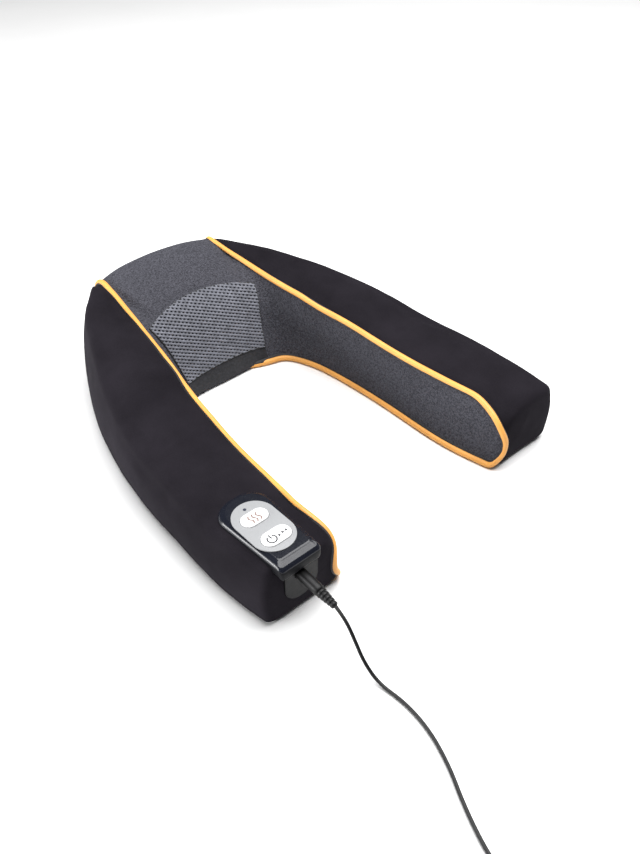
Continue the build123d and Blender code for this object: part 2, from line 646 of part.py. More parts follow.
def make_lead():
    x, y, z = SOCKET_AT
    grip = round_piece([(0, 4.2), (1, PLUG_R), (y - PLUG_END - 1, PLUG_R), (y - PLUG_END, PLUG_R - 0.6)],
                       (x, y, z), (0, -1, 0))
    write("plug_grip", grip)
    start = Vector(x, PLUG_END, z)
    end = Vector(*CORD_ROUTE[0])
    relief = round_piece(rib_profile(0, (end - start).length, 4.4, 2.9, 5), start, (end - start))
    write("plug_strain_relief", relief)
    cord, radii, length = tube(CORD_ROUTE, CORD_R)
    print("cord radii", [round(r, 1) for r in radii], "smallest", round(min(radii), 1))
    print("cord length", round(length))
    print("cord volume ratio", round(cord.volume / (math.pi * CORD_R ** 2 * length), 3))
    write("power_cord", cord)
    tail, radii, length = tube(ADAPTER_ROUTE, CORD_R)
    print("adapter end radii", [round(r, 1) for r in radii], "length", round(length))
    write("adapter_cord", tail)
    tip = Pos(x, y + 5, z) * Rot(90, 0, 0) * (Cylinder(2.75, 10) - Cylinder(1.25, 10))
    write("plug_tip", tip)
    ring = Pos(*COIL_AT, COIL_TUBE) * Cylinder(COIL_R, 2 * COIL_TUBE)
    ring = fillet(ring.edges(), 4)
    ring -= Pos(*COIL_AT, COIL_TUBE) * Cylinder(COIL_R - 2 * COIL_TUBE, 4 * COIL_TUBE)
    write("cord_coil", ring)
    middle = Pos(COIL_AT[0], COIL_AT[1] + COIL_R - COIL_TUBE, COIL_TUBE + 0.6)
    outside = Box(6, 2 * COIL_TUBE + 3.4, 2 * COIL_TUBE + 1.2)
    hole = Pos(0, 0, -0.6) * Box(6, 2 * COIL_TUBE + 1.2, 2 * COIL_TUBE + 0.2)
    write("coil_tie", middle * (outside - hole))


def make_adapter():
    ax, ay = ADAPTER_AT
    wide, long, tall = ADAPTER_SIZE
    body_z = (0, tall)
    shell = block((ax - wide / 2, ax + wide / 2), (ay - long / 2, ay + long / 2), body_z)
    shell = fillet(shell.edges().filter_by(Axis.Z), 5)
    shell = fillet(shell.edges().group_by(Axis.Z)[-1], 2.5)
    seam_y = ay + long / 2 - 14
    front = shell & block((ax - 40, ax + 40), (seam_y, ay + 60), (-5, 60))
    rear = shell - front
    write("adapter_body", rear)
    write("adapter_plug_face", front)
    pins = []
    for side in (-1, 1):
        pin = Pos(ax + side * 9.5, ay + long / 2 + 9.5, tall / 2) * Rot(90, 0, 0) * Cylinder(2.0, 19)
        pins.append(fillet(pin.edges().group_by(Axis.Y)[-1], 1.2))
    write("adapter_pins", *pins)
    start = Vector(ax, ay - long / 2, tall / 2)
    relief = rib_profile(0, ADAPTER_RELIEF, 4.4, 2.9, 4)
    write("adapter_strain_relief", round_piece(relief, start, (0, -1, 0)))


make_covers()
make_piping()
make_gearbox()
make_motor()
make_head(-1, "left")
make_head(1, "right")
make_heater()
make_foam()
make_control_box()
make_control_parts()
make_lead()
make_adapter()
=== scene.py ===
import math

import bmesh
import bpy
import numpy as np
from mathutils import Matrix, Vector, kdtree, noise
from mathutils.bvhtree import BVHTree


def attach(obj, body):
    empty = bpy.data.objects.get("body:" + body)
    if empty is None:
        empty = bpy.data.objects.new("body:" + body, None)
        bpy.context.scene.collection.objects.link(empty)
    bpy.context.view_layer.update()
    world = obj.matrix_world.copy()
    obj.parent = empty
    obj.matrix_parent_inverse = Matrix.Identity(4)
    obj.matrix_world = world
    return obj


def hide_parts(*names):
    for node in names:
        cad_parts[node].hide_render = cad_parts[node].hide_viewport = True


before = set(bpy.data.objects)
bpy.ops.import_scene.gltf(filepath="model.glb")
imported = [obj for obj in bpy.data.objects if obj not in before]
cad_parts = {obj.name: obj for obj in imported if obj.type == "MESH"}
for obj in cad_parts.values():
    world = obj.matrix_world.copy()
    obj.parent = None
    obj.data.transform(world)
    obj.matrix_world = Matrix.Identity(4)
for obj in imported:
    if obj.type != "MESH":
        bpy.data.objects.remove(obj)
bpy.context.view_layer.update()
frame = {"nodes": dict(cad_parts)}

# Lengths in this script are millimetres unless a name ends in _m. Meshes are made in metres.
MM = 0.001

# ---------------- driving dimensions
# The cushion's vertical cross-sections, as in the CAD model: inner foot x, y, outer foot x, y,
# setback and height of the inner top corner, setback and height of the outer top corner,
# inner top corner radius.
SECTIONS = [
    (0, 69, 0, 221, 41, 84, 6, 99.5, 40),
    (41, 69, 73, 206, 41, 85, 6, 97, 36),
    (62, 66, 108, 181, 36, 86, 9, 91.5, 28),
    (76, 54, 140, 125, 14, 85, 12, 89, 12),
    (85, 31, 160, 69, 7, 80, 8, 83, 8),
    (90, 1, 173, 12, 5, 72, 4, 75, 5),
    (93, -47, 180, -42, 7, 65, 3, 68, 5),
    (93, -102, 184, -102, 13, 62, 2, 62, 6),
    (94, -162, 186, -162, 14, 62, 3, 62, 8),
    (102, -206, 181, -206, 5, 60, 2, 61, 14),
]
RIDGE_ROW = 1
RIGHT_LIFT = [0, 0, 0, 0, 0, 0, 0, 4, 3, 4]   # the free arm's outer edge is plumper, row by row
FOOT_R = 6
OUTER_R = 9
END_ROUND = 7
CROWN_INNER, CROWN_TOP, CROWN_OUTER = 1.0, 4.0, 3.0   # how far each side of a section bulges
ARC_POINTS = 16          # points round each large corner of a section
COLUMN_STEP = 5.0
GREY_ROWS = 26
BLACK_ROWS = 46
# Plan of the upper seam, from the neck's back ridge to the start of the arm's rounded end.
SEAM_PLAN = [
    (61.5, 203), (61.5, 184), (65.5, 172), (71.5, 151), (77, 128), (81.3, 102), (85, 74), (89.5, 42),
    (95.5, 8), (101, -38), (106, -93), (109.5, -138), (112, -162), (113.2, -176),
]
# Height of the seam round the arm's end: (y, upper height, lower height).
END_SEAM = [
    (-176, 60.5, 1.5), (-189, 58.3, 1.5), (-197, 56.2, 1.6), (-203, 53.5, 2), (-207.5, 50.5, 4),
    (-210, 46.5, 8), (-212, 39, 13), (-213, 32, 18),
]
PIPING_R = 3.1
PIPING_STEP = 2.0
PIPING_LIFT = 0.3        # its middle stands this far off the fabric
PIPING_PUSH = 2.0        # and near the floor this much further out
SHADOW_TAPE_R = 3.45            # painted shade: a near-black tube behind the piping, seen as the shadow lines either side of it
SHADOW_TAPE_BACK = 2.5
PUFF_CAP = 3.2           # how far the simulated cover may swell
SEAM_ROUNDS = 60         # how often the seam's line is eased, along the arm and at its end
END_SEAM_ROUNDS = 5
END_EASE = (-130, 45)    # where that changes, in y, and over what length
BACK_RUN_ROWS = 20       # rows of the neck's back that the seam can run up
BACK_RUN = (195, 60)     # the part of them that it does run up: beyond this y or this height
FOOT_SEAM_X = {1: 50, -1: 82}   # nearer to the middle than this the lower seam runs under the cushion
# The way it goes in under the cushion from there: (away from the middle, towards the back).
FOOT_TUCK = {1: [(-8, 2.2), (-16, 5.6), (-26, 11)], -1: [(2, 6), (6, 12), (12, 17)]}
SEAM_REACH = 12

# The mesh panel: half widths, and how far the middle of its edges is above their ends.
MESH_HALF_FOOT = 51.5
MESH_HALF_TOP = 67.5
MESH_TOP_RISE = 15
MESH_FOOT_RISE = 5


# ================ small tools
def lerp(a, b, t):
    return a + (b - a) * t


def smooth_curve(knots, values, at):
    """A natural cubic spline through values at knots, sampled at the given places."""
    x, y = np.asarray(knots, float), np.asarray(values, float)
    h = np.diff(x)
    n = len(x)
    a = np.zeros((n, n))
    b = np.zeros((n,) + y.shape[1:])
    a[0, 0] = a[-1, -1] = 1
    for i in range(1, n - 1):
        a[i, i - 1], a[i, i], a[i, i + 1] = h[i - 1], 2 * (h[i - 1] + h[i]), h[i]
        b[i] = 3 * ((y[i + 1] - y[i]) / h[i] - (y[i] - y[i - 1]) / h[i - 1])
    c = np.linalg.solve(a, b)
    at = np.clip(np.asarray(at, float), x[0], x[-1])
    i = np.clip(np.searchsorted(x, at, side="right") - 1, 0, n - 2)
    d = at - x[i]
    if y.ndim > 1:
        d, step = d[:, None], h[i][:, None]
    else:
        step = h[i]
    slope = (y[i + 1] - y[i]) / step - step * (2 * c[i] + c[i + 1]) / 3
    return y[i] + slope * d + c[i] * d ** 2 + (c[i + 1] - c[i]) / (3 * step) * d ** 3


def eased(points, rounds):
    """Smooth a line by averaging each point with its neighbours."""
    points = np.array(points, float)
    for _ in range(rounds):
        middle = (points[:-2] + 2 * points[1:-1] + points[2:]) / 4
        points[1:-1] = middle
    return points


def new_object(name, points, faces, material=None, smooth=True):
    """A mesh object from points in millimetres."""
    mesh = bpy.data.meshes.new(name)
    mesh.from_pydata([tuple(float(c) * MM for c in p) for p in points], [], faces)
    mesh.update()
    obj = bpy.data.objects.new(name, mesh)
    bpy.context.scene.collection.objects.link(obj)
    for polygon in mesh.polygons:
        polygon.use_smooth = smooth
    if material:
        mesh.materials.append(material)
    return obj


def grid_faces(rows, columns, close_rows=False, close_columns=False):
    """Faces of a grid of points that is stored row by row."""
    faces = []
    for i in range(rows if close_rows else rows - 1):
        for j in range(columns if close_columns else columns - 1):
            i2, j2 = (i + 1) % rows, (j + 1) % columns
            faces.append((i * columns + j, i * columns + j2, i2 * columns + j2, i2 * columns + j))
    return faces


def apply_modifiers(obj):
    """Replace an object's mesh by the one its modifiers give."""
    graph = bpy.context.evaluated_depsgraph_get()
    mesh = bpy.data.meshes.new_from_object(obj.evaluated_get(graph))
    obj.modifiers.clear()
    obj.data = mesh
    return obj


def subdivided(obj, levels=1):
    modifier = obj.modifiers.new("smooth", "SUBSURF")
    modifier.levels = modifier.render_levels = levels
    return apply_modifiers(obj)


def face_out(obj):
    """Turn every face of a closed mesh outwards."""
    bm = bmesh.new()
    bm.from_mesh(obj.data)
    bmesh.ops.remove_doubles(bm, verts=bm.verts, dist=1e-6)
    bmesh.ops.recalc_face_normals(bm, faces=bm.faces)
    bm.to_mesh(obj.data)
    bm.free()
    return obj


def stand_in(piece, slot, *nodes):
    """Let a piece ride on the root body, in place of the named CAD nodes; the slot is not used."""
    if nodes:
        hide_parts(*nodes)
    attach(piece, "root")


# ================ materials
class Shader:
    """A Principled material with a few helpers for procedural detail in object space."""

    def __init__(self, name, color, roughness, **inputs):
        self.material = bpy.data.materials.new(name)
        self.material.use_nodes = True
        self.nodes = self.material.node_tree.nodes
        self.links = self.material.node_tree.links
        self.main = self.nodes["Principled BSDF"]
        self.set("Base Color", (*color, 1))
        self.set("Roughness", roughness)
        for key, value in inputs.items():
            self.set(key.replace("_", " "), value)
        self.where = self.nodes.new("ShaderNodeTexCoord").outputs["Object"]
        self.height = None

    def set(self, key, value):
        self.main.inputs[key].default_value = value

    def node(self, kind, **settings):
        node = self.nodes.new(kind)
        for key, value in settings.items():
            if hasattr(node, key):
                setattr(node, key, value)
            else:
                node.inputs[key].default_value = value
        return node

    def noise(self, scale, detail=3.0, roughness=0.6, stretch=None):
        node = self.node("ShaderNodeTexNoise", Scale=scale, Detail=detail, Roughness=roughness)
        self.links.new(self.placed(stretch), node.inputs["Vector"])
        return node.outputs["Fac"]

    def cells(self, scale, stretch=None, feature="F1"):
        node = self.node("ShaderNodeTexVoronoi", feature=feature, Scale=scale)
        self.links.new(self.placed(stretch), node.inputs["Vector"])
        return node.outputs["Distance"]

    def waves(self, scale, direction="X", distortion=0.0):
        node = self.node("ShaderNodeTexWave", bands_direction=direction, Scale=scale, Distortion=distortion)
        self.links.new(self.where, node.inputs["Vector"])
        return node.outputs["Fac"]

    def placed(self, stretch):
        if stretch is None:
            return self.where
        node = self.nodes.new("ShaderNodeMapping")
        node.inputs["Scale"].default_value = stretch
        self.links.new(self.where, node.inputs["Vector"])
        return node.outputs["Vector"]

    def mix(self, a, b, factor):
        """a plus a share of b."""
        node = self.node("ShaderNodeMath", operation="MULTIPLY_ADD")
        node.inputs[1].default_value = factor
        self.links.new(b, node.inputs[0])
        self.links.new(a, node.inputs[2])
        return node.outputs[0]

    def ramp(self, value, stops):
        node = self.nodes.new("ShaderNodeValToRGB")
        elements = node.color_ramp.elements
        while len(elements) < len(stops):
            elements.new(0.5)
        for element, (place, color) in zip(elements, stops):
            element.position = place
            element.color = (*color, 1) if isinstance(color, tuple) else (color, color, color, 1)
        self.links.new(value, node.inputs["Fac"])
        return node.outputs["Color"]

    def color(self, socket):
        self.links.new(socket, self.main.inputs["Base Color"])

    def speckle(self, base, low, high, scale, detail=2.0, stops=(0.35, 0.7)):
        """Colour the surface in noise between a darker and a lighter shade of one colour."""
        self.color(self.ramp(self.noise(scale, detail), list(zip(stops, shades(base, low, high)))))

    def roughness(self, scale, detail, low, high, stretch=None, stops=(0.3, 0.75)):
        """Roughness that varies from low to high."""
        value = self.ramp(self.noise(scale, detail, stretch=stretch), list(zip(stops, (low, high))))
        self.links.new(value, self.main.inputs["Roughness"])

    def bump(self, height, distance, strength=1.0):
        """Add a bump of the given depth in millimetres; calls add up."""
        node = self.node("ShaderNodeBump", Strength=strength, Distance=distance * MM)
        self.links.new(height, node.inputs["Height"])
        if self.height:
            self.links.new(self.height, node.inputs["Normal"])
        self.height = node.outputs["Normal"]
        self.links.new(self.height, self.main.inputs["Normal"])


def shades(color, low, high):
    """The same colour, darker and lighter."""
    return tuple(c * low for c in color), tuple(min(c * high, 1) for c in color)


def black_knit():
    base = (0.0112, 0.0098, 0.0125)
    s = Shader("black_knit", base, 0.82, Sheen_Weight=0.03, Sheen_Roughness=0.45,
               Sheen_Tint=(0.72, 0.66, 0.80, 1), Specular_IOR_Level=0.02)
    dark, light = shades(base, 0.70, 1.45)
    fine = s.noise(900, 2)
    s.color(s.ramp(s.mix(s.noise(14, 3), fine, 0.5), [(0.45, dark), (0.95, light)]))
    s.roughness(40, 2, 0.76, 0.88, stops=(0.3, 0.7))
    s.bump(s.cells(1300), 0.10, 0.55)
    s.bump(s.noise(60, 2), 0.25, 0.20)
    return s.material


def grey_boucle():
    base = (0.043, 0.043, 0.051)
    s = Shader("grey_boucle", base, 0.95, Sheen_Weight=0.05, Sheen_Roughness=0.5,
               Sheen_Tint=(0.85, 0.87, 1.0, 1), Specular_IOR_Level=0.05)
    dark, light = shades(base, 0.42, 1.75)
    curls = s.cells(780)
    lumps = s.noise(520, 4, 0.7)
    s.color(s.ramp(s.mix(lumps, curls, 0.35), [(0.42, dark), (0.60, base), (0.80, light)]))
    s.bump(curls, 0.9, 0.7)
    s.bump(lumps, 1.1, 0.75)
    return s.material


def strip_jersey():
    base = (0.0150, 0.0150, 0.0180)
    s = Shader("strip_jersey", base, 0.85, Sheen_Weight=0.2, Sheen_Roughness=0.5, Specular_IOR_Level=0.25)
    s.speckle(base, 0.7, 1.5, 420, 3)
    s.bump(s.cells(1100, (1, 1, 0.45)), 0.16, 0.6)
    return s.material


def mesh_yarn():
    base = (0.122, 0.126, 0.150)
    s = Shader("mesh_yarn", base, 0.55, Sheen_Weight=0.2, Sheen_Roughness=0.4, Specular_IOR_Level=0.4)
    s.speckle(base, 0.70, 1.35, 150, 3, (0.3, 0.72))
    s.bump(s.waves(900, "X", 1.5), 0.12, 0.5)
    return s.material


def mesh_backing():
    base = (0.052, 0.054, 0.066)
    s = Shader("mesh_backing", base, 0.9, Specular_IOR_Level=0.2)
    s.speckle(base, 0.6, 1.5, 500, 3)
    s.bump(s.noise(500, 2), 0.3, 0.5)
    return s.material


def piping_satin():
    base = (0.81, 0.372, 0.078)
    s = Shader("piping_satin", base, 0.48, Sheen_Weight=0.35, Sheen_Roughness=0.35,
               Sheen_Tint=(1.0, 0.86, 0.55, 1), Specular_IOR_Level=0.45)
    dark, light = shades(base, 0.84, 1.06)
    s.color(s.ramp(s.mix(s.noise(35, 2), s.noise(700, 2), 0.5), [(0.45, dark), (0.95, light)]))
    s.bump(s.cells(950, (1, 0.5, 1)), 0.12, 0.5)
    s.bump(s.noise(120, 2), 0.22, 0.35)
    return s.material


def thread(color, name):
    s = Shader(name, color, 0.6, Sheen_Weight=0.2, Sheen_Roughness=0.4)
    s.bump(s.waves(1600, "DIAGONAL", 0.5), 0.08, 0.6)
    s.speckle(color, 0.75, 1.3, 900)
    return s.material


def gloss_navy():
    base = (0.0060, 0.0072, 0.0125)
    s = Shader("gloss_navy", base, 0.25, Specular_IOR_Level=0.38)
    s.roughness(300, 3, 0.22, 0.29)
    s.speckle(base, 0.9, 1.15, 50, 2, (0.3, 0.75))
    s.bump(s.noise(1100, 2), 0.004, 0.2)
    return s.material


def satin_black(name, base=(0.018, 0.018, 0.020), rough=0.5, grain=0.05, shine=0.45):
    s = Shader(name, base, rough, Specular_IOR_Level=shine)
    s.roughness(200, 3, rough - 0.05, rough + 0.08)
    s.speckle(base, 0.85, 1.2, 60, 2, (0.3, 0.75))
    s.bump(s.noise(1400, 3), grain, 0.5)
    return s.material


def silver_lacquer():
    base = (0.315, 0.320, 0.328)
    s = Shader("silver_lacquer", base, 0.42, Metallic=0.25, Specular_IOR_Level=0.45)
    s.speckle(base, 0.93, 1.07, 1800)
    s.bump(s.noise(1600, 2), 0.02, 0.3)
    return s.material


def key_rubber():
    base = (0.86, 0.86, 0.87)
    s = Shader("key_rubber", base, 0.45, Subsurface_Weight=0.06, Specular_IOR_Level=0.4)
    s.set("Subsurface Radius", (0.001, 0.001, 0.001))
    s.speckle(base, 0.97, 1.03, 400)
    s.bump(s.noise(1500, 2), 0.015, 0.3)
    return s.material


def print_ink(name, color):
    s = Shader(name, color, 0.6)
    s.speckle(color, 0.9, 1.15, 900)
    return s.material


def metal(name, color, rough):
    s = Shader(name, color, rough, Metallic=1.0)
    s.roughness(250, 3, rough * 0.8, rough * 1.3, (1, 1, 12))
    s.bump(s.noise(700, 2, 0.5, (1, 1, 14)), 0.01, 0.4)
    return s.material


def plain_moulded(name, color, rough=0.5):
    s = Shader(name, color, rough)
    s.speckle(color, 0.88, 1.1, 80, 3, (0.3, 0.75))
    s.bump(s.noise(1200, 2), 0.04, 0.4)
    return s.material


def floor_paint():
    s = Shader("floor_paint", (0.86, 0.86, 0.86), 0.75)
    s.color(s.ramp(s.noise(6, 2), [(0.3, 0.85), (0.7, 0.87)]))
    return s.material


# ================ the cushion's skin
def row_knots():
    """Distances along the right half, from the neck's middle to the last row."""
    middles = [((r[0] + r[2]) / 2, (r[1] + r[3]) / 2) for r in SECTIONS]
    steps = [math.dist(a, b) for a, b in zip(middles, middles[1:])]
    return np.concatenate([[0], np.cumsum(steps)])


def section_values(at):
    """Cross-section values at distances from the middle; negative is the left half."""
    knots = row_knots()
    rows = np.array(SECTIONS, float)
    flip = np.array([-1, 1, -1] + [1] * (rows.shape[1] - 3))
    right = rows.copy()
    right[:, 7] += RIGHT_LIFT
    both = np.vstack([rows[:0:-1] * flip, right])
    return smooth_curve(np.concatenate([-knots[:0:-1], knots]), both, at)


def rounded_corner(before, corner, after, radius, count=10):
    before, corner, after = (np.array(p, float) for p in (before, corner, after))
    back = before - corner
    ahead = after - corner
    start = corner + back / np.linalg.norm(back) * radius
    end = corner + ahead / np.linalg.norm(ahead) * radius
    t = np.linspace(0, 1, count)[:, None]
    return start * (1 - t) ** 2 + corner * 2 * t * (1 - t) + end * t ** 2


def crowned(start, end, crown, count=14):
    """A side of the section that bulges outwards a little."""
    t = np.linspace(0, 1, count)[1:-1, None]
    along = end - start
    out = np.array([-along[1], along[0]]) / np.linalg.norm(along)
    return start + along * t + out * crown * 4 * t * (1 - t)


def section_outline(values, inset):
    """Dense outline of one section as (distance, height), from the inner foot upwards.

    Returns the points and the index where the top side starts and ends."""
    xi, yi, xo, yo, set_in, z_in, set_out, z_out, r_in = values
    width = math.hypot(xo - xi, yo - yi)
    foot_in = (inset, inset)
    top_in = (set_in + inset, z_in - inset)
    top_out = (width - set_out - inset, z_out - inset)
    foot_out = (width - inset, inset)
    a = rounded_corner(foot_out, foot_in, top_in, FOOT_R)
    b = rounded_corner(foot_in, top_in, top_out, max(r_in, 5), ARC_POINTS)
    c = rounded_corner(top_in, top_out, foot_out, OUTER_R, ARC_POINTS)
    d = rounded_corner(top_out, foot_out, foot_in, OUTER_R, ARC_POINTS)
    half = len(a) // 2
    inner = crowned(a[-1], b[0], CROWN_INNER)
    top = crowned(b[-1], c[0], CROWN_TOP * min(1.0, width / 110))
    outer = crowned(c[-1], d[0], CROWN_OUTER)
    bottom = crowned(d[-1], a[0], 0.0)
    points = np.vstack([a[half:], inner, b, top, c, outer, d, bottom, a[: half + 1]])
    first = len(a) - half + len(inner)
    last = first + len(b) + len(top)
    return points, first, last


def seam_lengths(y_here, plan, heights, lengths, first, last):
    """Where the upper and lower seams cross one outline, as lengths along it."""
    face_end = first + ARC_POINTS - 1
    if y_here > END_SEAM[0][0]:
        line = smooth_curve(range(len(SEAM_PLAN)), SEAM_PLAN, np.linspace(0, len(SEAM_PLAN) - 1, 240))
        gap = np.linalg.norm(plan[first:last, None] - line[None], axis=2).min(axis=1)
        up = lengths[first + int(gap.argmin())]
        return 0.0, up
    table = np.array(END_SEAM)
    order = np.argsort(table[:, 0])
    high = np.interp(y_here, table[order, 0], table[order, 1])
    low = np.interp(y_here, table[order, 0], table[order, 2])
    up = np.interp(high, heights[:face_end], lengths[:face_end])
    down = np.interp(low, heights[:face_end], lengths[:face_end])
    return max(down - np.interp(1.5, heights[:face_end], lengths[:face_end]), 0.0), max(up, down + 0.5)


def ring(at, extra, shift, side):
    """One closed loop of skin points: first the grey rows, then the black rows."""
    values = section_values([at])[0]
    outline, first, last = section_outline(values, extra)
    xi, yi, xo, yo = values[:4]
    ux, uy = (xo - xi) / math.hypot(xo - xi, yo - yi), (yo - yi) / math.hypot(xo - xi, yo - yi)
    place = np.stack([xi + outline[:, 0] * ux, yi + outline[:, 0] * uy + shift, outline[:, 1]], axis=1)
    lengths = np.concatenate([[0], np.cumsum(np.linalg.norm(np.diff(outline, axis=0), axis=1))])
    plan = place[:, :2] * np.array([side, 1])
    ridge = row_knots()[RIDGE_ROW]
    if abs(at) <= ridge + 1e-6:
        low, up = 0.0, lengths[last]
    else:
        low, up = seam_lengths(yi + shift, plan, outline[:, 1], lengths, first, last)
    total = lengths[-1]
    grey = low + (up - low) * np.arange(GREY_ROWS) / GREY_ROWS
    black = up + (total + low - up) * np.arange(BLACK_ROWS) / BLACK_ROWS
    along = np.concatenate([grey, black]) % total
    return np.stack([np.interp(along, lengths, place[:, k]) for k in range(3)], axis=1)


def skin_rings():
    """All loops of the skin, from the left arm's end to the right arm's end."""
    knots = row_knots()
    end, ridge = knots[-1], knots[RIDGE_ROW]
    neck = np.linspace(0, ridge, max(2, round(ridge / COLUMN_STEP) + 1))
    arm = np.linspace(ridge, end, round((end - ridge) / COLUMN_STEP) + 1)[1:]
    half = np.concatenate([neck, arm])
    turns = [math.radians(a) for a in (22, 45, 67, 90)]
    right = [ring(at, 0, 0, 1) for at in half]
    right += [ring(end, END_ROUND * (1 - math.cos(a)), -END_ROUND * math.sin(a), 1) for a in turns]
    straighten(right, len(neck) - 1)
    mirror = np.array([-1, 1, 1])
    left = [r * mirror for r in right[:0:-1]]
    return left + right, len(neck) - 1


def straighten(rings, ridge_column):
    """Ease the upper seam into a smooth curve, and carry the skin near it along."""
    line = np.array([r[GREY_ROWS] for r in rings[ridge_column:]])
    near_end = np.clip((END_EASE[0] - line[:, 1]) / END_EASE[1], 0, 1)[:, None]
    shift = lerp(eased(line, SEAM_ROUNDS), eased(line, END_SEAM_ROUNDS), near_end) - line
    for r, move in zip(rings[ridge_column:], shift):
        for row in range(2, GREY_ROWS + SEAM_REACH):
            away = abs(row - GREY_ROWS) / SEAM_REACH
            if away < 1:
                r[row] += move * (0.5 + 0.5 * math.cos(math.pi * away))


def closed_skin(rings):
    """Points and faces of the whole skin with both ends capped."""
    columns = len(rings)
    rows = GREY_ROWS + BLACK_ROWS
    points = [p for r in rings for p in r]
    faces = grid_faces(columns, rows, close_columns=True)
    for index, flip in ((0, True), (columns - 1, False)):
        loop = list(range(index * rows, (index + 1) * rows))
        centre = rings[index].mean(axis=0)
        for share in (0.82, 0.60, 0.36, 0.16):
            start = len(points)
            points += list(centre + (rings[index] - centre) * share)
            inner = list(range(start, start + rows))
            for j in range(rows):
                k = (j + 1) % rows
                quad = (loop[j], loop[k], inner[k], inner[j])
                faces.append(quad[::-1] if flip else quad)
            loop = inner
        points.append(centre)
        tip = len(points) - 1
        for j in range(rows):
            k = (j + 1) % rows
            faces.append((loop[k], loop[j], tip) if flip else (loop[j], loop[k], tip))
    return np.array(points), faces


def seam_points(columns, ridge_column):
    """Indices of the skin points that the seams hold still."""
    rows = GREY_ROWS + BLACK_ROWS
    middle = columns // 2
    held = set()
    for i in range(columns):
        for j in (0, GREY_ROWS):
            if j == 0 or abs(i - middle) >= ridge_column:
                held.add(i * rows + j)
    for i in (middle - ridge_column, middle + ridge_column):
        held.update(i * rows + j for j in range(GREY_ROWS, rows))
    return held


def puffed(points, faces, held):
    """Swell the closed skin a little with a cloth simulation, the seams pinned."""
    obj = new_object("puff_source", points, [face[::-1] for face in faces])
    group = obj.vertex_groups.new(name="pins")
    group.add(sorted(held), 1.0, "REPLACE")
    bottom = [i for i, p in enumerate(points) if p[2] < 1.0 and i not in held]
    group.add(bottom, 0.8, "REPLACE")
    cloth = obj.modifiers.new("cloth", "CLOTH")
    cloth.settings.quality = 5
    cloth.settings.mass = 0.3
    cloth.settings.tension_stiffness = cloth.settings.compression_stiffness = 25
    cloth.settings.shear_stiffness = 12
    cloth.settings.bending_stiffness = 2.0
    cloth.settings.use_pressure = True
    cloth.settings.uniform_pressure_force = 4
    cloth.settings.effector_weights.gravity = 0
    cloth.settings.vertex_group_mass = "pins"
    cloth.collision_settings.use_collision = False
    scene = bpy.context.scene
    for number in range(1, 21):
        scene.frame_set(number)
    graph = bpy.context.evaluated_depsgraph_get()
    mesh = obj.evaluated_get(graph).to_mesh()
    moved = np.array([v.co for v in mesh.vertices]) / MM
    scene.frame_set(1)
    bpy.data.objects.remove(obj)
    change = moved - points
    outward = -point_normals(points, faces)
    change = outward * np.maximum((change * outward).sum(axis=1, keepdims=True), 0)
    size = np.linalg.norm(change, axis=1, keepdims=True)
    print("puff: largest move", round(float(size.max()), 2), "mm, mean", round(float(size.mean()), 2), "mm")
    scale = PUFF_CAP * np.tanh(size / PUFF_CAP) / np.maximum(size, 1e-9)
    result = points + change * scale
    result[:, 2] = np.maximum(result[:, 2], 0.0)
    return result


def point_normals(points, faces):
    normals = np.zeros_like(points)
    for face in faces:
        corner = points[list(face)]
        normal = np.zeros(3)
        for i in range(1, len(face) - 1):
            normal += np.cross(corner[i] - corner[0], corner[i + 1] - corner[0])
        normals[list(face)] += normal
    return normals / np.maximum(np.linalg.norm(normals, axis=1, keepdims=True), 1e-12)


def patch(name, points, faces, chosen, material):
    """An object from some of the skin's faces, made finer by one subdivision."""
    used = sorted({i for f in chosen for i in faces[f]})
    index = {old: new for new, old in enumerate(used)}
    obj = new_object(name, points[used], [tuple(index[i] for i in faces[f]) for f in chosen], material)
    return subdivided(obj, 1)


# ================ lead
CORD_D = 3.0
CORD_ROUTE = [
    (-148, -257, 44), (-148.6, -269, 40), (-150, -281, 28), (-151, -293, 13), (-150, -309, 1.8),
    (-147, -333, 1.8), (-150, -360, 1.8), (-160, -388, 1.8), (-174, -414, 1.8), (-185, -440, 1.8),
    (-190, -459, 1.8), (-191.5, -476, 1.8),
]
ADAPTER_ROUTE = [
    (-219, -512.2, 2.2), (-238, -511, 4.5), (-255, -507, 9), (-265, -498, 14), (-268, -486, 17),
    (-268, -476, 17),
]
COIL_AT = (-214, -486)
# Radius and height of each turn of the coil, in the order in which it is wound.
COIL_TURNS = [
    (19.6, 1.8), (16.5, 1.8), (15, 4.7), (18, 4.7), (21, 4.7), (22.4, 7.5), (19.4, 7.5), (16.4, 7.5),
    (13.4, 7.5), (15, 10.4), (18, 10.4), (21, 10.4), (19.4, 13.2),
]
COIL_STEPS = 16
COIL_START = 24          # degrees round the coil, counter-clockwise from +X
COIL_END = -101


def coil_points():
    """Control points of the coil's turns, wound clockwise as seen from above."""
    turns = len(COIL_TURNS)
    total = turns + (COIL_START - COIL_END) / 360
    points = []
    count = round(total * COIL_STEPS)
    for i in range(1, count):
        turn = total * i / count
        place = turn - 0.25
        k = min(max(int(math.floor(place)), 0), turns - 1)
        share = min(max((place - k - 0.7) / 0.3, 0), 1)
        share = share * share * (3 - 2 * share)
        here, after = COIL_TURNS[k], COIL_TURNS[min(k + 1, turns - 1)]
        radius, z = lerp(here[0], after[0], share), lerp(here[1], after[1], share)
        if turn < 0.3:
            radius = lerp(24.0, radius, turn / 0.3)
        left = (total - turn) / 0.36
        if left < 1:
            radius, z = lerp(26.0, radius, left ** 2), lerp(2.6, z, min(left * 1.1, 1) ** 0.8)
        angle = math.radians(COIL_START - 360 * turn)
        points.append((COIL_AT[0] + radius * math.cos(angle), COIL_AT[1] + radius * math.sin(angle), z))
    return points


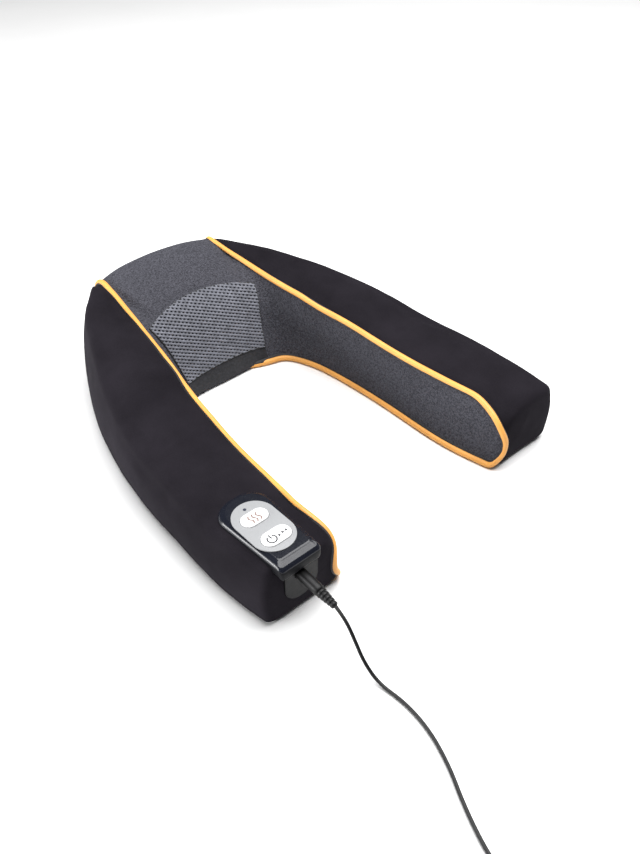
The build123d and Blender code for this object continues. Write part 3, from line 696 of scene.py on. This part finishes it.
def nurbs_line(name, points, thickness, material):
    """A smooth round cord along control points in millimetres."""
    curve = bpy.data.curves.new(name, "CURVE")
    curve.dimensions = "3D"
    curve.bevel_depth = thickness / 2 * MM
    curve.bevel_resolution = 4
    curve.resolution_u = 6
    curve.use_fill_caps = True
    spline = curve.splines.new("NURBS")
    spline.points.add(len(points) - 1)
    for point, place in zip(spline.points, points):
        point.co = (*(c * MM for c in place), 1)
    spline.order_u = 3
    spline.use_endpoint_u = True
    obj = bpy.data.objects.new(name, curve)
    bpy.context.scene.collection.objects.link(obj)
    curve.materials.append(material)
    return obj


def lathe(name, profile, path, material, sides=40):
    """A turned piece: (distance, radius) pairs along a path that is a function of distance."""
    distances, radii = np.array(profile).T
    points = [path(distance) for distance in distances]
    return tube_along(name, points, [(0, 0, 1.0)] * len(points), radii, material, sides)


PLUG_START = -210
PLUG_END = -240
RELIEF_END = -257
PLUG_Z = 47.5
CORD_START_Z = 44.0
PLUG_X = -148


def plug_path(distance):
    """Centre of the plug at a distance along it; its relief leans down towards the cord."""
    y = PLUG_START - distance
    drop = max(0.0, (PLUG_START - y) / (PLUG_START - RELIEF_END))
    return (PLUG_X, y, PLUG_Z - (PLUG_Z - CORD_START_Z) * drop ** 1.4)


def make_plug(rubber):
    length = PLUG_START - PLUG_END
    grip = lathe("plug_barrel", [(0, 4.4), (0.6, 5.0), (3, 5.05), (length * 0.5, 4.95), (length - 5, 4.9),
                                 (length - 2, 4.75), (length - 0.4, 4.3), (length, 3.6)], plug_path, rubber)
    stand_in(grip, "plug_black", "plug_grip")
    profile = [(length - 1, 3.0)]
    ribs, rib = 5, (PLUG_END - RELIEF_END) / 5
    for i in range(ribs):
        size = lerp(4.5, 3.2, i / (ribs - 1))
        start = length + i * rib
        profile += [(start + 0.15, size - 0.9), (start + 0.45, size - 0.1), (start + 0.8, size),
                    (start + rib - 1.1, size - 0.1), (start + rib - 0.8, size - 0.25),
                    (start + rib - 0.6, size - 1.0)]
    end = length + ribs * rib
    profile += [(end - 0.3, 2.2), (end, 1.7)]
    relief = lathe("plug_ribbed_relief", profile, plug_path, rubber)
    stand_in(relief, "plug_black", "plug_strain_relief")
    return [grip, relief]


def make_lead(jacket, rubber):
    route = CORD_ROUTE + coil_points() + ADAPTER_ROUTE
    line = nurbs_line("lead", route, CORD_D, jacket)
    stand_in(line, "cord", "power_cord", "cord_coil", "adapter_cord")
    on_it = make_plug(rubber) + ["coil_tie", "adapter_strain_relief", "adapter_body",
                                 "adapter_plug_face", "adapter_pins"]


# ================ camera, light and floor
def make_camera():
    """The photograph's viewing angle and perspective."""
    azimuth, elevation, distance = math.radians(-41.8), math.radians(40), 0.9048
    back = Vector((math.sin(azimuth) * math.cos(elevation), -math.cos(azimuth) * math.cos(elevation),
                   math.sin(elevation)))
    data = bpy.data.cameras.new("camera")
    data.lens = 37.38
    data.sensor_width = 36
    camera = bpy.data.objects.new("camera", data)
    bpy.context.scene.collection.objects.link(camera)
    camera.location = Vector((0.0195, -0.052, 0)) + back * distance
    camera.rotation_mode = "QUATERNION"
    camera.rotation_quaternion = (-back).to_track_quat("-Z", "Y")
    bpy.context.scene.camera = camera


def area_light(name, place, aim, size, power, tint=(1, 1, 1)):
    data = bpy.data.lights.new(name, "AREA")
    data.shape = "RECTANGLE"
    data.size, data.size_y = size
    data.energy = power
    data.color = tint
    light = bpy.data.objects.new(name, data)
    bpy.context.scene.collection.objects.link(light)
    light.location = place
    direction = Vector(aim) - Vector(place)
    light.rotation_mode = "QUATERNION"
    light.rotation_quaternion = direction.to_track_quat("-Z", "Y")


def make_studio():
    world = bpy.data.worlds.new("studio")
    bpy.context.scene.world = world
    world.use_nodes = True
    background = world.node_tree.nodes["Background"]
    background.inputs["Color"].default_value = (1, 1, 1, 1)
    background.inputs["Strength"].default_value = 0.12
    area_light("overhead", (0.35, -0.10, 1.9), (0, -0.05, 0), (1.5, 2.4), 92)
    area_light("left_back", (-2.0, 0.8, 0.45), (-0.1, 0.0, 0.05), (1.4, 0.5), 52)
    floor = new_object("floor", [(-6000, -6000, -0.4), (6000, -6000, -0.4), (6000, 6000, -0.4),
                                 (-6000, 6000, -0.4)], [(0, 1, 2, 3)], floor_paint())
    scene = bpy.context.scene
    scene.view_settings.view_transform = "Standard"
    scene.view_settings.exposure = 0.0


# ================ cushion pieces
def tube_along(name, points, normals, radius, material, sides=14, closed=False):
    """A round tube of one radius, or one for each point; normals keep it from twisting."""
    points, normals = np.asarray(points, float), np.asarray(normals, float)
    radius = np.reshape(radius, (-1, 1, 1))
    if closed:
        ahead = np.roll(points, -1, axis=0) - np.roll(points, 1, axis=0)
    else:
        ahead = np.gradient(points, axis=0)
    ahead /= np.linalg.norm(ahead, axis=1, keepdims=True)
    side = np.cross(ahead, normals)
    side /= np.maximum(np.linalg.norm(side, axis=1, keepdims=True), 1e-9)
    up = np.cross(side, ahead)
    angles = np.arange(sides) * 2 * math.pi / sides
    rings = (points[:, None] + radius * (np.cos(angles)[None, :, None] * side[:, None]
                                         + np.sin(angles)[None, :, None] * up[:, None]))
    count = len(points)
    faces = grid_faces(count, sides, close_rows=closed, close_columns=True)
    flat = list(rings.reshape(-1, 3))
    if not closed:
        flat += [points[0], points[-1]]
        for i in range(sides):
            j = (i + 1) % sides
            faces.append((j, i, count * sides))
            faces.append(((count - 1) * sides + i, (count - 1) * sides + j, count * sides + 1))
    return face_out(new_object(name, flat, faces, material))


def even_points(points, step):
    """The same line with points a step apart."""
    points = np.asarray(points, float)
    run = np.concatenate([[0], np.cumsum(np.linalg.norm(np.diff(points, axis=0), axis=1))])
    at = np.linspace(0, run[-1], max(int(run[-1] / step), 4))
    return np.stack([np.interp(at, run, points[:, k]) for k in range(points.shape[1])], axis=1)


class Skin:
    """The cushion's outside: a grid of points, columns along the U and rows round it."""

    def __init__(self):
        rings, self.ridge = skin_rings()
        self.columns = len(rings)
        self.rows = GREY_ROWS + BLACK_ROWS
        self.middle = self.columns // 2
        self.points, self.faces = closed_skin(rings)
        held = seam_points(self.columns, self.ridge)
        self.points = puffed(self.points, self.faces, held)
        self.normals = point_normals(self.points, self.faces)

    def index(self, column, row):
        return column * self.rows + row % self.rows

    def seam(self, side):
        """The piping's line on one arm: up the back, along the top, round the end, back below."""
        ridge = self.middle + side * self.ridge
        tip = self.columns - 1 if side > 0 else 0
        path = [self.index(ridge, row) for row in range(self.rows - BACK_RUN_ROWS, GREY_ROWS, -1)]
        path = [i for i in path if self.points[i][1] > BACK_RUN[0] or self.points[i][2] > BACK_RUN[1]]
        path += [self.index(column, GREY_ROWS) for column in range(ridge, tip + side, side)]
        path += [self.index(tip, row) for row in range(GREY_ROWS - 1, 0, -1)]
        path += [self.index(column, 0) for column in range(tip, ridge, -side)
                 if abs(self.points[self.index(column, 0)][0]) > FOOT_SEAM_X[side]]
        return path

    def dip(self, lines, depth, reach):
        """Pull the fabric in towards the given lines of points, as stitching does."""
        held = [p for line in lines for p in line]
        tree = kdtree.KDTree(len(held))
        for i, p in enumerate(held):
            tree.insert(p, i)
        tree.balance()
        for i, p in enumerate(self.points):
            gap = tree.find(p)[2]
            if gap < reach:
                fade = (1 - gap / reach) ** 2
                self.points[i] = p - self.normals[i] * depth * fade
        self.points[:, 2] = np.maximum(self.points[:, 2], 0.0)

    def creases(self):
        """Soft hollows and folds of the fabric, a fraction of a millimetre deep."""
        for i, p in enumerate(self.points):
            if p[2] < 1.0:
                continue
            wide = noise.noise(Vector((p[0], p[1], p[2] * 1.4)) * 0.018)
            fine = noise.noise(Vector((p[0] * 1.3, p[1], p[2])) * 0.055 + Vector((7, 3, 1)))
            self.points[i] = p + self.normals[i] * (wide * 0.9 + fine * 0.35)
        self.points[:, 2] = np.maximum(self.points[:, 2], 0.0)


def skin_part(skin, face):
    """Which cover a face of the skin belongs to."""
    if min(face) >= skin.columns * skin.rows or max(face) >= skin.columns * skin.rows:
        centre = skin.points[list(face)].mean(axis=0)
        return "arm_cover_right" if centre[0] > 0 else "arm_cover_left"
    columns = sorted({i // skin.rows for i in face})
    row = min(i % skin.rows for i in face)
    if max(i % skin.rows for i in face) == skin.rows - 1 and row == 0:
        row = skin.rows - 1
    if row < GREY_ROWS:
        return "inner_cover"
    inside_ridge = columns[0] >= skin.middle - skin.ridge and columns[-1] <= skin.middle + skin.ridge
    if inside_ridge:
        return "inner_cover"
    return "arm_cover_right" if columns[0] >= skin.middle else "arm_cover_left"


def make_piping(skin, satin, dark_thread_and_shade):
    for side, word in ((1, "right"), (-1, "left")):
        path = skin.seam(side)
        points, normals = skin.points[path], skin.normals[path]
        both = even_points(np.hstack([points, normals]), PIPING_STEP)
        points, normals = eased(both[:, :3], 5), eased(both[:, 3:], 20)
        normals /= np.linalg.norm(normals, axis=1, keepdims=True)
        outward = -normals * [1, 1, 0]
        outward /= np.maximum(np.linalg.norm(outward, axis=1, keepdims=True), 1e-6)
        low = np.clip((8 - points[:, 2:]) / 7, 0, 1)
        centre = points + normals * PIPING_LIFT + outward * low * PIPING_PUSH
        centre[:, 2] = np.maximum(centre[:, 2], PIPING_R)
        tuck = [centre[-1] + np.array([side * away, back, 0.0]) for away, back in FOOT_TUCK[side]]
        centre = np.vstack([centre, tuck])
        normals = np.vstack([normals] + [normals[-1:]] * len(tuck))
        centre = eased(centre, 3)
        piping = tube_along(f"piping_{word}_cord", centre, normals, PIPING_R, satin)
        piping = subdivided(piping, 1)
        # Painted shade: a near-black tube behind the piping that shows as the shadow lines either side of
        # it.
        behind = np.vstack([outward * low, np.zeros((len(tuck), 3))]) * SHADOW_TAPE_BACK
        shadow_tape = centre + normals - behind
        shade_tube = tube_along(f"piping_{word}_tape", shadow_tape, normals, SHADOW_TAPE_R, dark_thread_and_shade)
        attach(shade_tube, "root")
        stand_in(piping, "piping", f"piping_{word}")


def make_covers(skin, black, grey):
    parts = {}
    for number, face in enumerate(skin.faces):
        parts.setdefault(skin_part(skin, face), []).append(number)
    stands_for = {
        "inner_cover": ("inner_cover", "neck_foam"),
        "arm_cover_right": ("arm_cover_right", "arm_foam_right"),
        "arm_cover_left": ("arm_cover_left", "arm_foam_left"),
    }
    for name, numbers in parts.items():
        material, slot = (grey, "grey_cover") if name == "inner_cover" else (black, "black_cover")
        cover = patch(name + "_fabric", skin.points, skin.faces, numbers, material)
        for polygon in cover.data.polygons:
            polygon.use_smooth = True
        stand_in(cover, slot, *stands_for[name])


# ================ mesh panel
# The mesh panel lies on the neck's front face. u runs across, v up the face from its foot, in mm.
FACE_AT = (0, 97, 48)
FACE_TILT = math.radians(27)
FACE_V = np.array([0, math.sin(FACE_TILT), math.cos(FACE_TILT)])
FACE_W = np.array([0, -math.cos(FACE_TILT), math.sin(FACE_TILT)])
MESH_V = (-36, 32)
MESH_PITCH = 3.5         # between the knit's rows
NET_TALL, NET_WIDE = 5, 6   # cells in one repeat of the knit
NET_REACH = 110          # the grid of cells runs this far each way before it is cut
NET_THICK = 0.7
ROW_SLOPE = math.radians(-25.5)
NET_LIFT, NET_WAVE = 1.15, 0.4   # height of the knit over the skin, and its ripple
BACKING_LIFT, HEM_AND_SHADE_LIFT, STRIP_LIFT = 0.45, 0.5, 0.5
# The hem is a near-black tube round the panel: its stitching, and painted shade of the groove round the
# panel.
HEM_AND_SHADE_R = 0.8
RAY_START = 120          # rays to the skin start this far in front of it
STRIP_FOOT_V = -50.5


def panel_plane(u, v):
    """A place on the flat plane in front of the neck."""
    return np.array([u, FACE_AT[1], FACE_AT[2]]) + v * FACE_V


def panel_half(t):
    """Half width of the mesh panel from its foot, t = 0, to its top, t = 1; its sides curve in."""
    return lerp(MESH_HALF_FOOT, MESH_HALF_TOP, t) - 1.5 * math.sin(math.pi * t)


def panel_place(a, t):
    """Plane coordinates for a from -1 to 1 across and t from 0 to 1 up the panel."""
    u = a * panel_half(t)
    low = MESH_V[0] + MESH_FOOT_RISE * (1 - a * a)
    high = MESH_V[1] + MESH_TOP_RISE * (1 - a * a)
    return u, lerp(low, high, t)


def on_skin(tree, u, v, lift):
    """The point of the skin behind a place on the plane, and the way out of it."""
    start = panel_plane(u, v) + FACE_W * RAY_START
    place, normal, _, _ = tree.ray_cast(Vector(start), Vector(-FACE_W))
    if place is None:
        place, normal, _, _ = tree.find_nearest(Vector(panel_plane(u, v)))
    place, normal = np.array(place), np.array(normal)
    if normal @ FACE_W < 0:
        normal = -normal
    return place + normal * lift, normal


def skin_tree(skin):
    return BVHTree.FromPolygons([tuple(p) for p in skin.points], [tuple(f) for f in skin.faces])


def inside_panel(u, v):
    """Whether a place on the plane is within the fan-shaped outline."""
    t = (v - MESH_V[0]) / (MESH_V[1] - MESH_V[0])
    a = u / panel_half(min(max(t, 0), 1.1))
    if abs(a) > 1:
        return False
    low = MESH_V[0] + MESH_FOOT_RISE * (1 - a * a)
    high = MESH_V[1] + MESH_TOP_RISE * (1 - a * a)
    return low < v < high


def open_cell(i, j):
    """Whether a face of the knit's grid is in one of its holes."""
    band, level = divmod(j, NET_TALL)
    place = (i + (band % 2) * (NET_WIDE // 2)) % NET_WIDE
    return level >= 3 and place >= 3


def make_net(tree, yarn):
    """A straight-cut ladder knit whose rows slope across the panel."""
    step = MESH_PITCH / NET_TALL
    along = np.array([math.cos(ROW_SLOPE), math.sin(ROW_SLOPE)])
    across = np.array([-along[1], along[0]])
    reach = int(NET_REACH / step)
    index, net, faces = {}, [], []

    def corner(i, j):
        if (i, j) not in index:
            u, v = (along * i + across * j) * step + np.array([0, MESH_V[0]])
            ripple = NET_WAVE * math.cos(2 * math.pi * (j - 1) / NET_TALL)
            index[i, j] = len(net)
            net.append(on_skin(tree, u, v, NET_LIFT + ripple)[0])
        return index[i, j]

    for j in range(-reach, reach):
        for i in range(-reach, reach):
            u, v = (along * (i + 0.5) + across * (j + 0.5)) * step + np.array([0, MESH_V[0]])
            if inside_panel(u, v) and not open_cell(i, j):
                faces.append((corner(i, j), corner(i + 1, j), corner(i + 1, j + 1), corner(i, j + 1)))
    piece = new_object("mesh_net", net, faces, yarn)
    thick = piece.modifiers.new("thickness", "SOLIDIFY")
    thick.thickness = NET_THICK * MM
    thick.offset = 0
    apply_modifiers(piece)
    piece = subdivided(piece, 1)
    for polygon in piece.data.polygons:
        polygon.use_smooth = True
    return piece


def make_mesh_panel(skin, yarn, backing, dark_thread_and_shade):
    tree = skin_tree(skin)
    piece = make_net(tree, yarn)
    stand_in(piece, "mesh", "mesh_panel")
    steps = 60
    back = []
    for j in range(steps + 1):
        for i in range(steps + 1):
            back.append(on_skin(tree, *panel_place(-1 + 2 * i / steps, j / steps), BACKING_LIFT)[0])
    under = new_object("mesh_backing", back, grid_faces(steps + 1, steps + 1), backing)
    stand_in(under, "mesh")
    # A near-black tube round the panel's edge: the stitched hem, and painted shade of the groove round it.
    edge = [(a, 0) for a in np.linspace(-1, 1, 60)] + [(1, t) for t in np.linspace(0, 1, 50)[1:]]
    edge += [(a, 1) for a in np.linspace(1, -1, 60)[1:]] + [(-1, t) for t in np.linspace(1, 0, 50)[1:-1]]
    line = [on_skin(tree, *panel_place(a, t), HEM_AND_SHADE_LIFT) for a, t in edge]
    points, normals = np.array([p for p, _ in line]), np.array([n for _, n in line])
    hem_and_shade = tube_along("mesh_hem", points, normals, HEM_AND_SHADE_R, dark_thread_and_shade, sides=8, closed=True)
    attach(hem_and_shade, "root")
    return tree


def make_front_strip(tree, jersey):
    """The plain band below the mesh panel, over the neck's foot."""
    points = []
    steps, levels = 60, 14
    for j in range(levels + 1):
        t = j / levels
        for i in range(steps + 1):
            a = -1 + 2 * i / steps
            u, top = panel_place(a, 0)
            v = lerp(STRIP_FOOT_V, top - 1.0, t)
            points.append(on_skin(tree, u, v, STRIP_LIFT)[0])
    strip = new_object("front_strip_fabric", points, grid_faces(levels + 1, steps + 1), jersey)
    stand_in(strip, "grey_strip", "front_strip")


# ================ controller
CTRL_X = -149.8
CTRL_HALF_BACK, CTRL_HALF_FRONT = 25.4, 20.6
CTRL_BACK, CTRL_FRONT = -133, -221
CTRL_BACK_R, CTRL_FRONT_R = 20, 3.5


def ctrl_half(y):
    """Half width of the control box, which narrows towards its front."""
    return lerp(CTRL_HALF_FRONT, CTRL_HALF_BACK, (y - CTRL_FRONT) / (CTRL_BACK - CTRL_FRONT))


def box_outline():
    """Plan of the control box, round at the back and nearly square at the front.

    Each point is its share of the half width, from -1 to 1, and its y."""
    points = []
    half = (CTRL_HALF_BACK + CTRL_HALF_FRONT) / 2
    corners = [(half, CTRL_FRONT, CTRL_FRONT_R, -90), (half, CTRL_BACK, CTRL_BACK_R, 0),
               (-half, CTRL_BACK, CTRL_BACK_R, 90), (-half, CTRL_FRONT, CTRL_FRONT_R, 180)]
    for x, y, radius, start in corners:
        cx = x - math.copysign(radius, x)
        cy = y + radius if y == CTRL_FRONT else y - radius
        steps = 14 if radius > 10 else 6
        for k in range(steps + 1):
            a = math.radians(start + 90 * k / steps)
            points.append((cx + radius * math.cos(a), cy + radius * math.sin(a)))
    return [(x / half, y) for x, y in even_ring(points, 2.0)]


def even_ring(points, step):
    """Points round a closed outline, close together, with its corners kept."""
    result = []
    for a, b in zip(points, points[1:] + points[:1]):
        gap = math.dist(a, b)
        count = max(1, round(gap / step))
        result += [(lerp(a[0], b[0], k / count), lerp(a[1], b[1], k / count)) for k in range(count)]
    return result


# Control box profile from its foot to its deck: inset and height at the sides, and at the front.
BOX_PROFILE = [
    ((8, 60.0), (8.2, 56.6)), ((1.0, 60.0), (2.0, 56.2)), ((0.2, 60.3), (0.7, 56.8)),
    ((0, 61.4), (0.1, 58.4)), ((0, 66.0), (0, 63.0)), ((0.08, 67.2), (0.1, 66.0)),
    ((0.3, 67.9), (0.5, 67.0)), ((1.7, 69.9), (2.8, 69.3)), ((4.0, 71.3), (7.0, 71.2)),
    ((4.4, 71.62), (7.5, 71.5)), ((4.8, 71.88), (8.1, 71.8)), ((5.4, 72.0), (9.0, 72.0)),
]
BEVEL_BAND = 7           # the flat bevel round the deck, counted in bands of the profile
MATTE_BANDS = 5          # the bands from the foot up that aren't glossy


def make_box(gloss, matte):
    outline = box_outline()
    centre_y = (CTRL_BACK + CTRL_FRONT) / 2
    half_y = (CTRL_BACK - CTRL_FRONT) / 2
    points = []
    for side, front in BOX_PROFILE:
        for share, y in outline:
            near = min(max((CTRL_FRONT + CTRL_FRONT_R - y) / CTRL_FRONT_R, 0), 1)
            near = near * near * (3 - 2 * near)
            inset_y = front[0] if y < centre_y else side[0]
            px = CTRL_X + share * (ctrl_half(y) - side[0])
            py = centre_y + (y - centre_y) * (1 - inset_y / half_y)
            points.append((px, py, lerp(side[1], front[1], near)))
    count = len(outline)
    faces = grid_faces(len(BOX_PROFILE), count, close_columns=True)
    faces.append(tuple(range(count))[::-1])
    last = (len(BOX_PROFILE) - 1) * count
    faces.append(tuple(range(last, last + count)))
    box = face_out(new_object("control_box_shell", points, faces, gloss))
    box.data.materials.append(matte)
    for number, polygon in enumerate(box.data.polygons):
        band = number // count
        polygon.use_smooth = band not in (BEVEL_BAND, len(BOX_PROFILE) - 1)
        polygon.material_index = 1 if band < MATTE_BANDS else 0
    stand_in(box, "box_gloss", "control_box_lid")


HEAT_AT = (-152.3, -166)
MASSAGE_AT = (-151.7, -192.5)
ICON_Z = 74.3            # just above the keys
INK_DEPTH = 0.06


def printed(name, points, faces, material, body, smooth=True):
    """A layer of ink on a moving key."""
    obj = new_object(name, points, faces, material, smooth)
    thick = obj.modifiers.new("thickness", "SOLIDIFY")
    thick.thickness = INK_DEPTH * MM
    apply_modifiers(obj)
    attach(obj, body)


def ribbon(name, lines, width, z, material, body):
    """Flat printed strokes along lines of (x, y) points, as one thin piece."""
    points, faces = [], []
    for line in lines:
        line = np.array(line, float)
        ahead = np.gradient(line, axis=0)
        ahead /= np.linalg.norm(ahead, axis=1, keepdims=True)
        side = np.stack([-ahead[:, 1], ahead[:, 0]], axis=1) * width / 2
        start = len(points)
        for p, s in zip(line, side):
            points.append((*(p + s), z))
            points.append((*(p - s), z))
        for i in range(len(line) - 1):
            a = start + 2 * i
            faces.append((a, a + 1, a + 3, a + 2))
    printed(name, points, faces, material, body)


def wedge(name, lines, width, z, material, body):
    """Small printed triangles, each from a wide base to a tip."""
    points, faces = [], []
    for (x0, y0), (x1, y1) in lines:
        start = len(points)
        points += [(x0, y0 + width / 2, z), (x0, y0 - width / 2, z), (x1, y1, z)]
        faces.append((start, start + 1, start + 2) if x1 > x0 else (start + 1, start, start + 2))
    printed(name, points, faces, material, body, smooth=False)


def make_icons(brown, dark):
    x, y = HEAT_AT[0] - 0.4, HEAT_AT[1] - 1.0
    waves = []
    for k in (-1, 0, 1):
        steps = np.linspace(-1, 1, 30)
        waves.append([(x + k * 3.8 - 1.0 * math.sin(s * math.pi * 1.15), y + 4.6 * s) for s in steps])
    ribbon("heat_icon", waves, 1.15, ICON_Z, brown, "heat_key")
    x, y = MASSAGE_AT[0] - 5.2, MASSAGE_AT[1] - 1.2
    arc = [(x + 3.9 * math.sin(a), y + 3.9 * math.cos(a)) for a in np.radians(np.linspace(32, 328, 40))]
    bar = [(x, y + 0.6), (x, y + 2.4), (x, y + 5.0)]
    ribbon("power_icon", [arc, bar], 1.2, ICON_Z, dark, "massage_key")
    x, y = MASSAGE_AT
    arrows = [[(x + base, y + up), (x + tip, y + up)]
              for base, tip, up in ((0.8, 3.4, -1.6), (4.8, 7.4, -0.8), (10.0, 7.4, -0.8))]
    wedge("arrow_icons", arrows, 3.2, ICON_Z, dark, "massage_key")


# ================ finishes of the CAD nodes
def finish_cad(nodes):
    """Give every CAD node a procedural material that fits what it is made of.

    Each finish goes with the starts of node names; the longest start that fits a name counts.
    Returns the materials of the cord and of its plug."""
    cord = satin_black("cord_pvc", (0.005, 0.005, 0.0055), 0.42, 0.05, 0.3)
    rubber = satin_black("plug_rubber", (0.0055, 0.0055, 0.006), 0.45, 0.05, 0.25)
    finishes = [
        (cord, "power_cord cord_coil adapter_cord wire_harness"),
        (rubber, "plug adapter_strain coil_tie"),
        (satin_black("adapter_case", (0.016, 0.016, 0.018), 0.55, 0.12), "adapter"),
        (satin_black("socket_pbt", (0.012, 0.012, 0.013), 0.45), "power_socket"),
        (satin_black("box_matte", (0.0075, 0.0075, 0.0085), 0.45, 0.04, 0.15), "control_box"),
        (silver_lacquer(), "face_plate"),
        (key_rubber(), "heat_button massage_button"),
        (metal("nickel_pins", (0.42, 0.41, 0.38), 0.45), "adapter_pins plug_tip socket_pin thermal_cut_out"),
        (metal("steel_turned", (0.56, 0.57, 0.58), 0.28),
         "motor worm spindle head_screw gearbox_screws clamp"),
        (metal("bronze_sintered", (0.55, 0.36, 0.17), 0.4), "motor_bushes spindle_bushes shaft_end_bush"),
        (metal("copper_winding", (0.72, 0.32, 0.16), 0.35), "rotor_core commutator"),
        (plain_moulded("foam_cream", (0.62, 0.58, 0.46), 0.95), "arm_foam neck_foam"),
        (plain_moulded("housing_abs", (0.55, 0.55, 0.53), 0.5), "gearbox motor_end_cap"),
        (plain_moulded("gear_acetal", (0.82, 0.81, 0.76), 0.4), "worm_wheel"),
        (plain_moulded("ferrite", (0.045, 0.045, 0.047), 0.7), "motor_magnets"),
        (plain_moulded("head_nylon", (0.62, 0.62, 0.60), 0.5), "head_plate"),
        (plain_moulded("knob_rubber", (0.16, 0.16, 0.17), 0.65), "massage_knobs"),
        (plain_moulded("heater_film_amber", (0.55, 0.24, 0.05), 0.35), "heater_film"),
        (plain_moulded("board_green", (0.02, 0.16, 0.06), 0.4), "control_board"),
        (plain_moulded("chip_epoxy", (0.02, 0.02, 0.022), 0.45), "board_chips button_switches"),
        (plain_moulded("led_lens", (0.045, 0.05, 0.07), 0.15), "indicator_led"),
    ]
    material_of = {start: material for material, starts in finishes for start in starts.split()}
    for name, obj in nodes.items():
        fitting = [start for start in material_of if name.startswith(start)]
        if fitting:
            obj.data.materials.clear()
            obj.data.materials.append(material_of[max(fitting, key=len)])
    return cord, rubber


# ================ everything
def main():
    make_camera()
    make_studio()
    make_lead(*finish_cad(frame["nodes"]))
    skin = Skin()
    lines = [skin.points[skin.seam(side)] for side in (1, -1)]
    skin.dip(lines, 1.6, 9)
    skin.creases()
    satin = piping_satin()
    # Near-black thread, also used as painted shade for the shadow lines beside the piping and the groove
    # round the mesh panel.
    dark = thread((0.007, 0.007, 0.008), "dark_thread_and_shade")
    make_piping(skin, satin, dark)
    make_covers(skin, black_knit(), grey_boucle())
    tree = make_mesh_panel(skin, mesh_yarn(), mesh_backing(), dark)
    make_front_strip(tree, strip_jersey())
    make_box(gloss_navy(), satin_black("box_side", (0.0045, 0.0048, 0.0065), 0.5, 0.03, 0.1))
    make_icons(print_ink("ink_brown", (0.20, 0.115, 0.095)), print_ink("ink_black", (0.03, 0.03, 0.035)))


main()
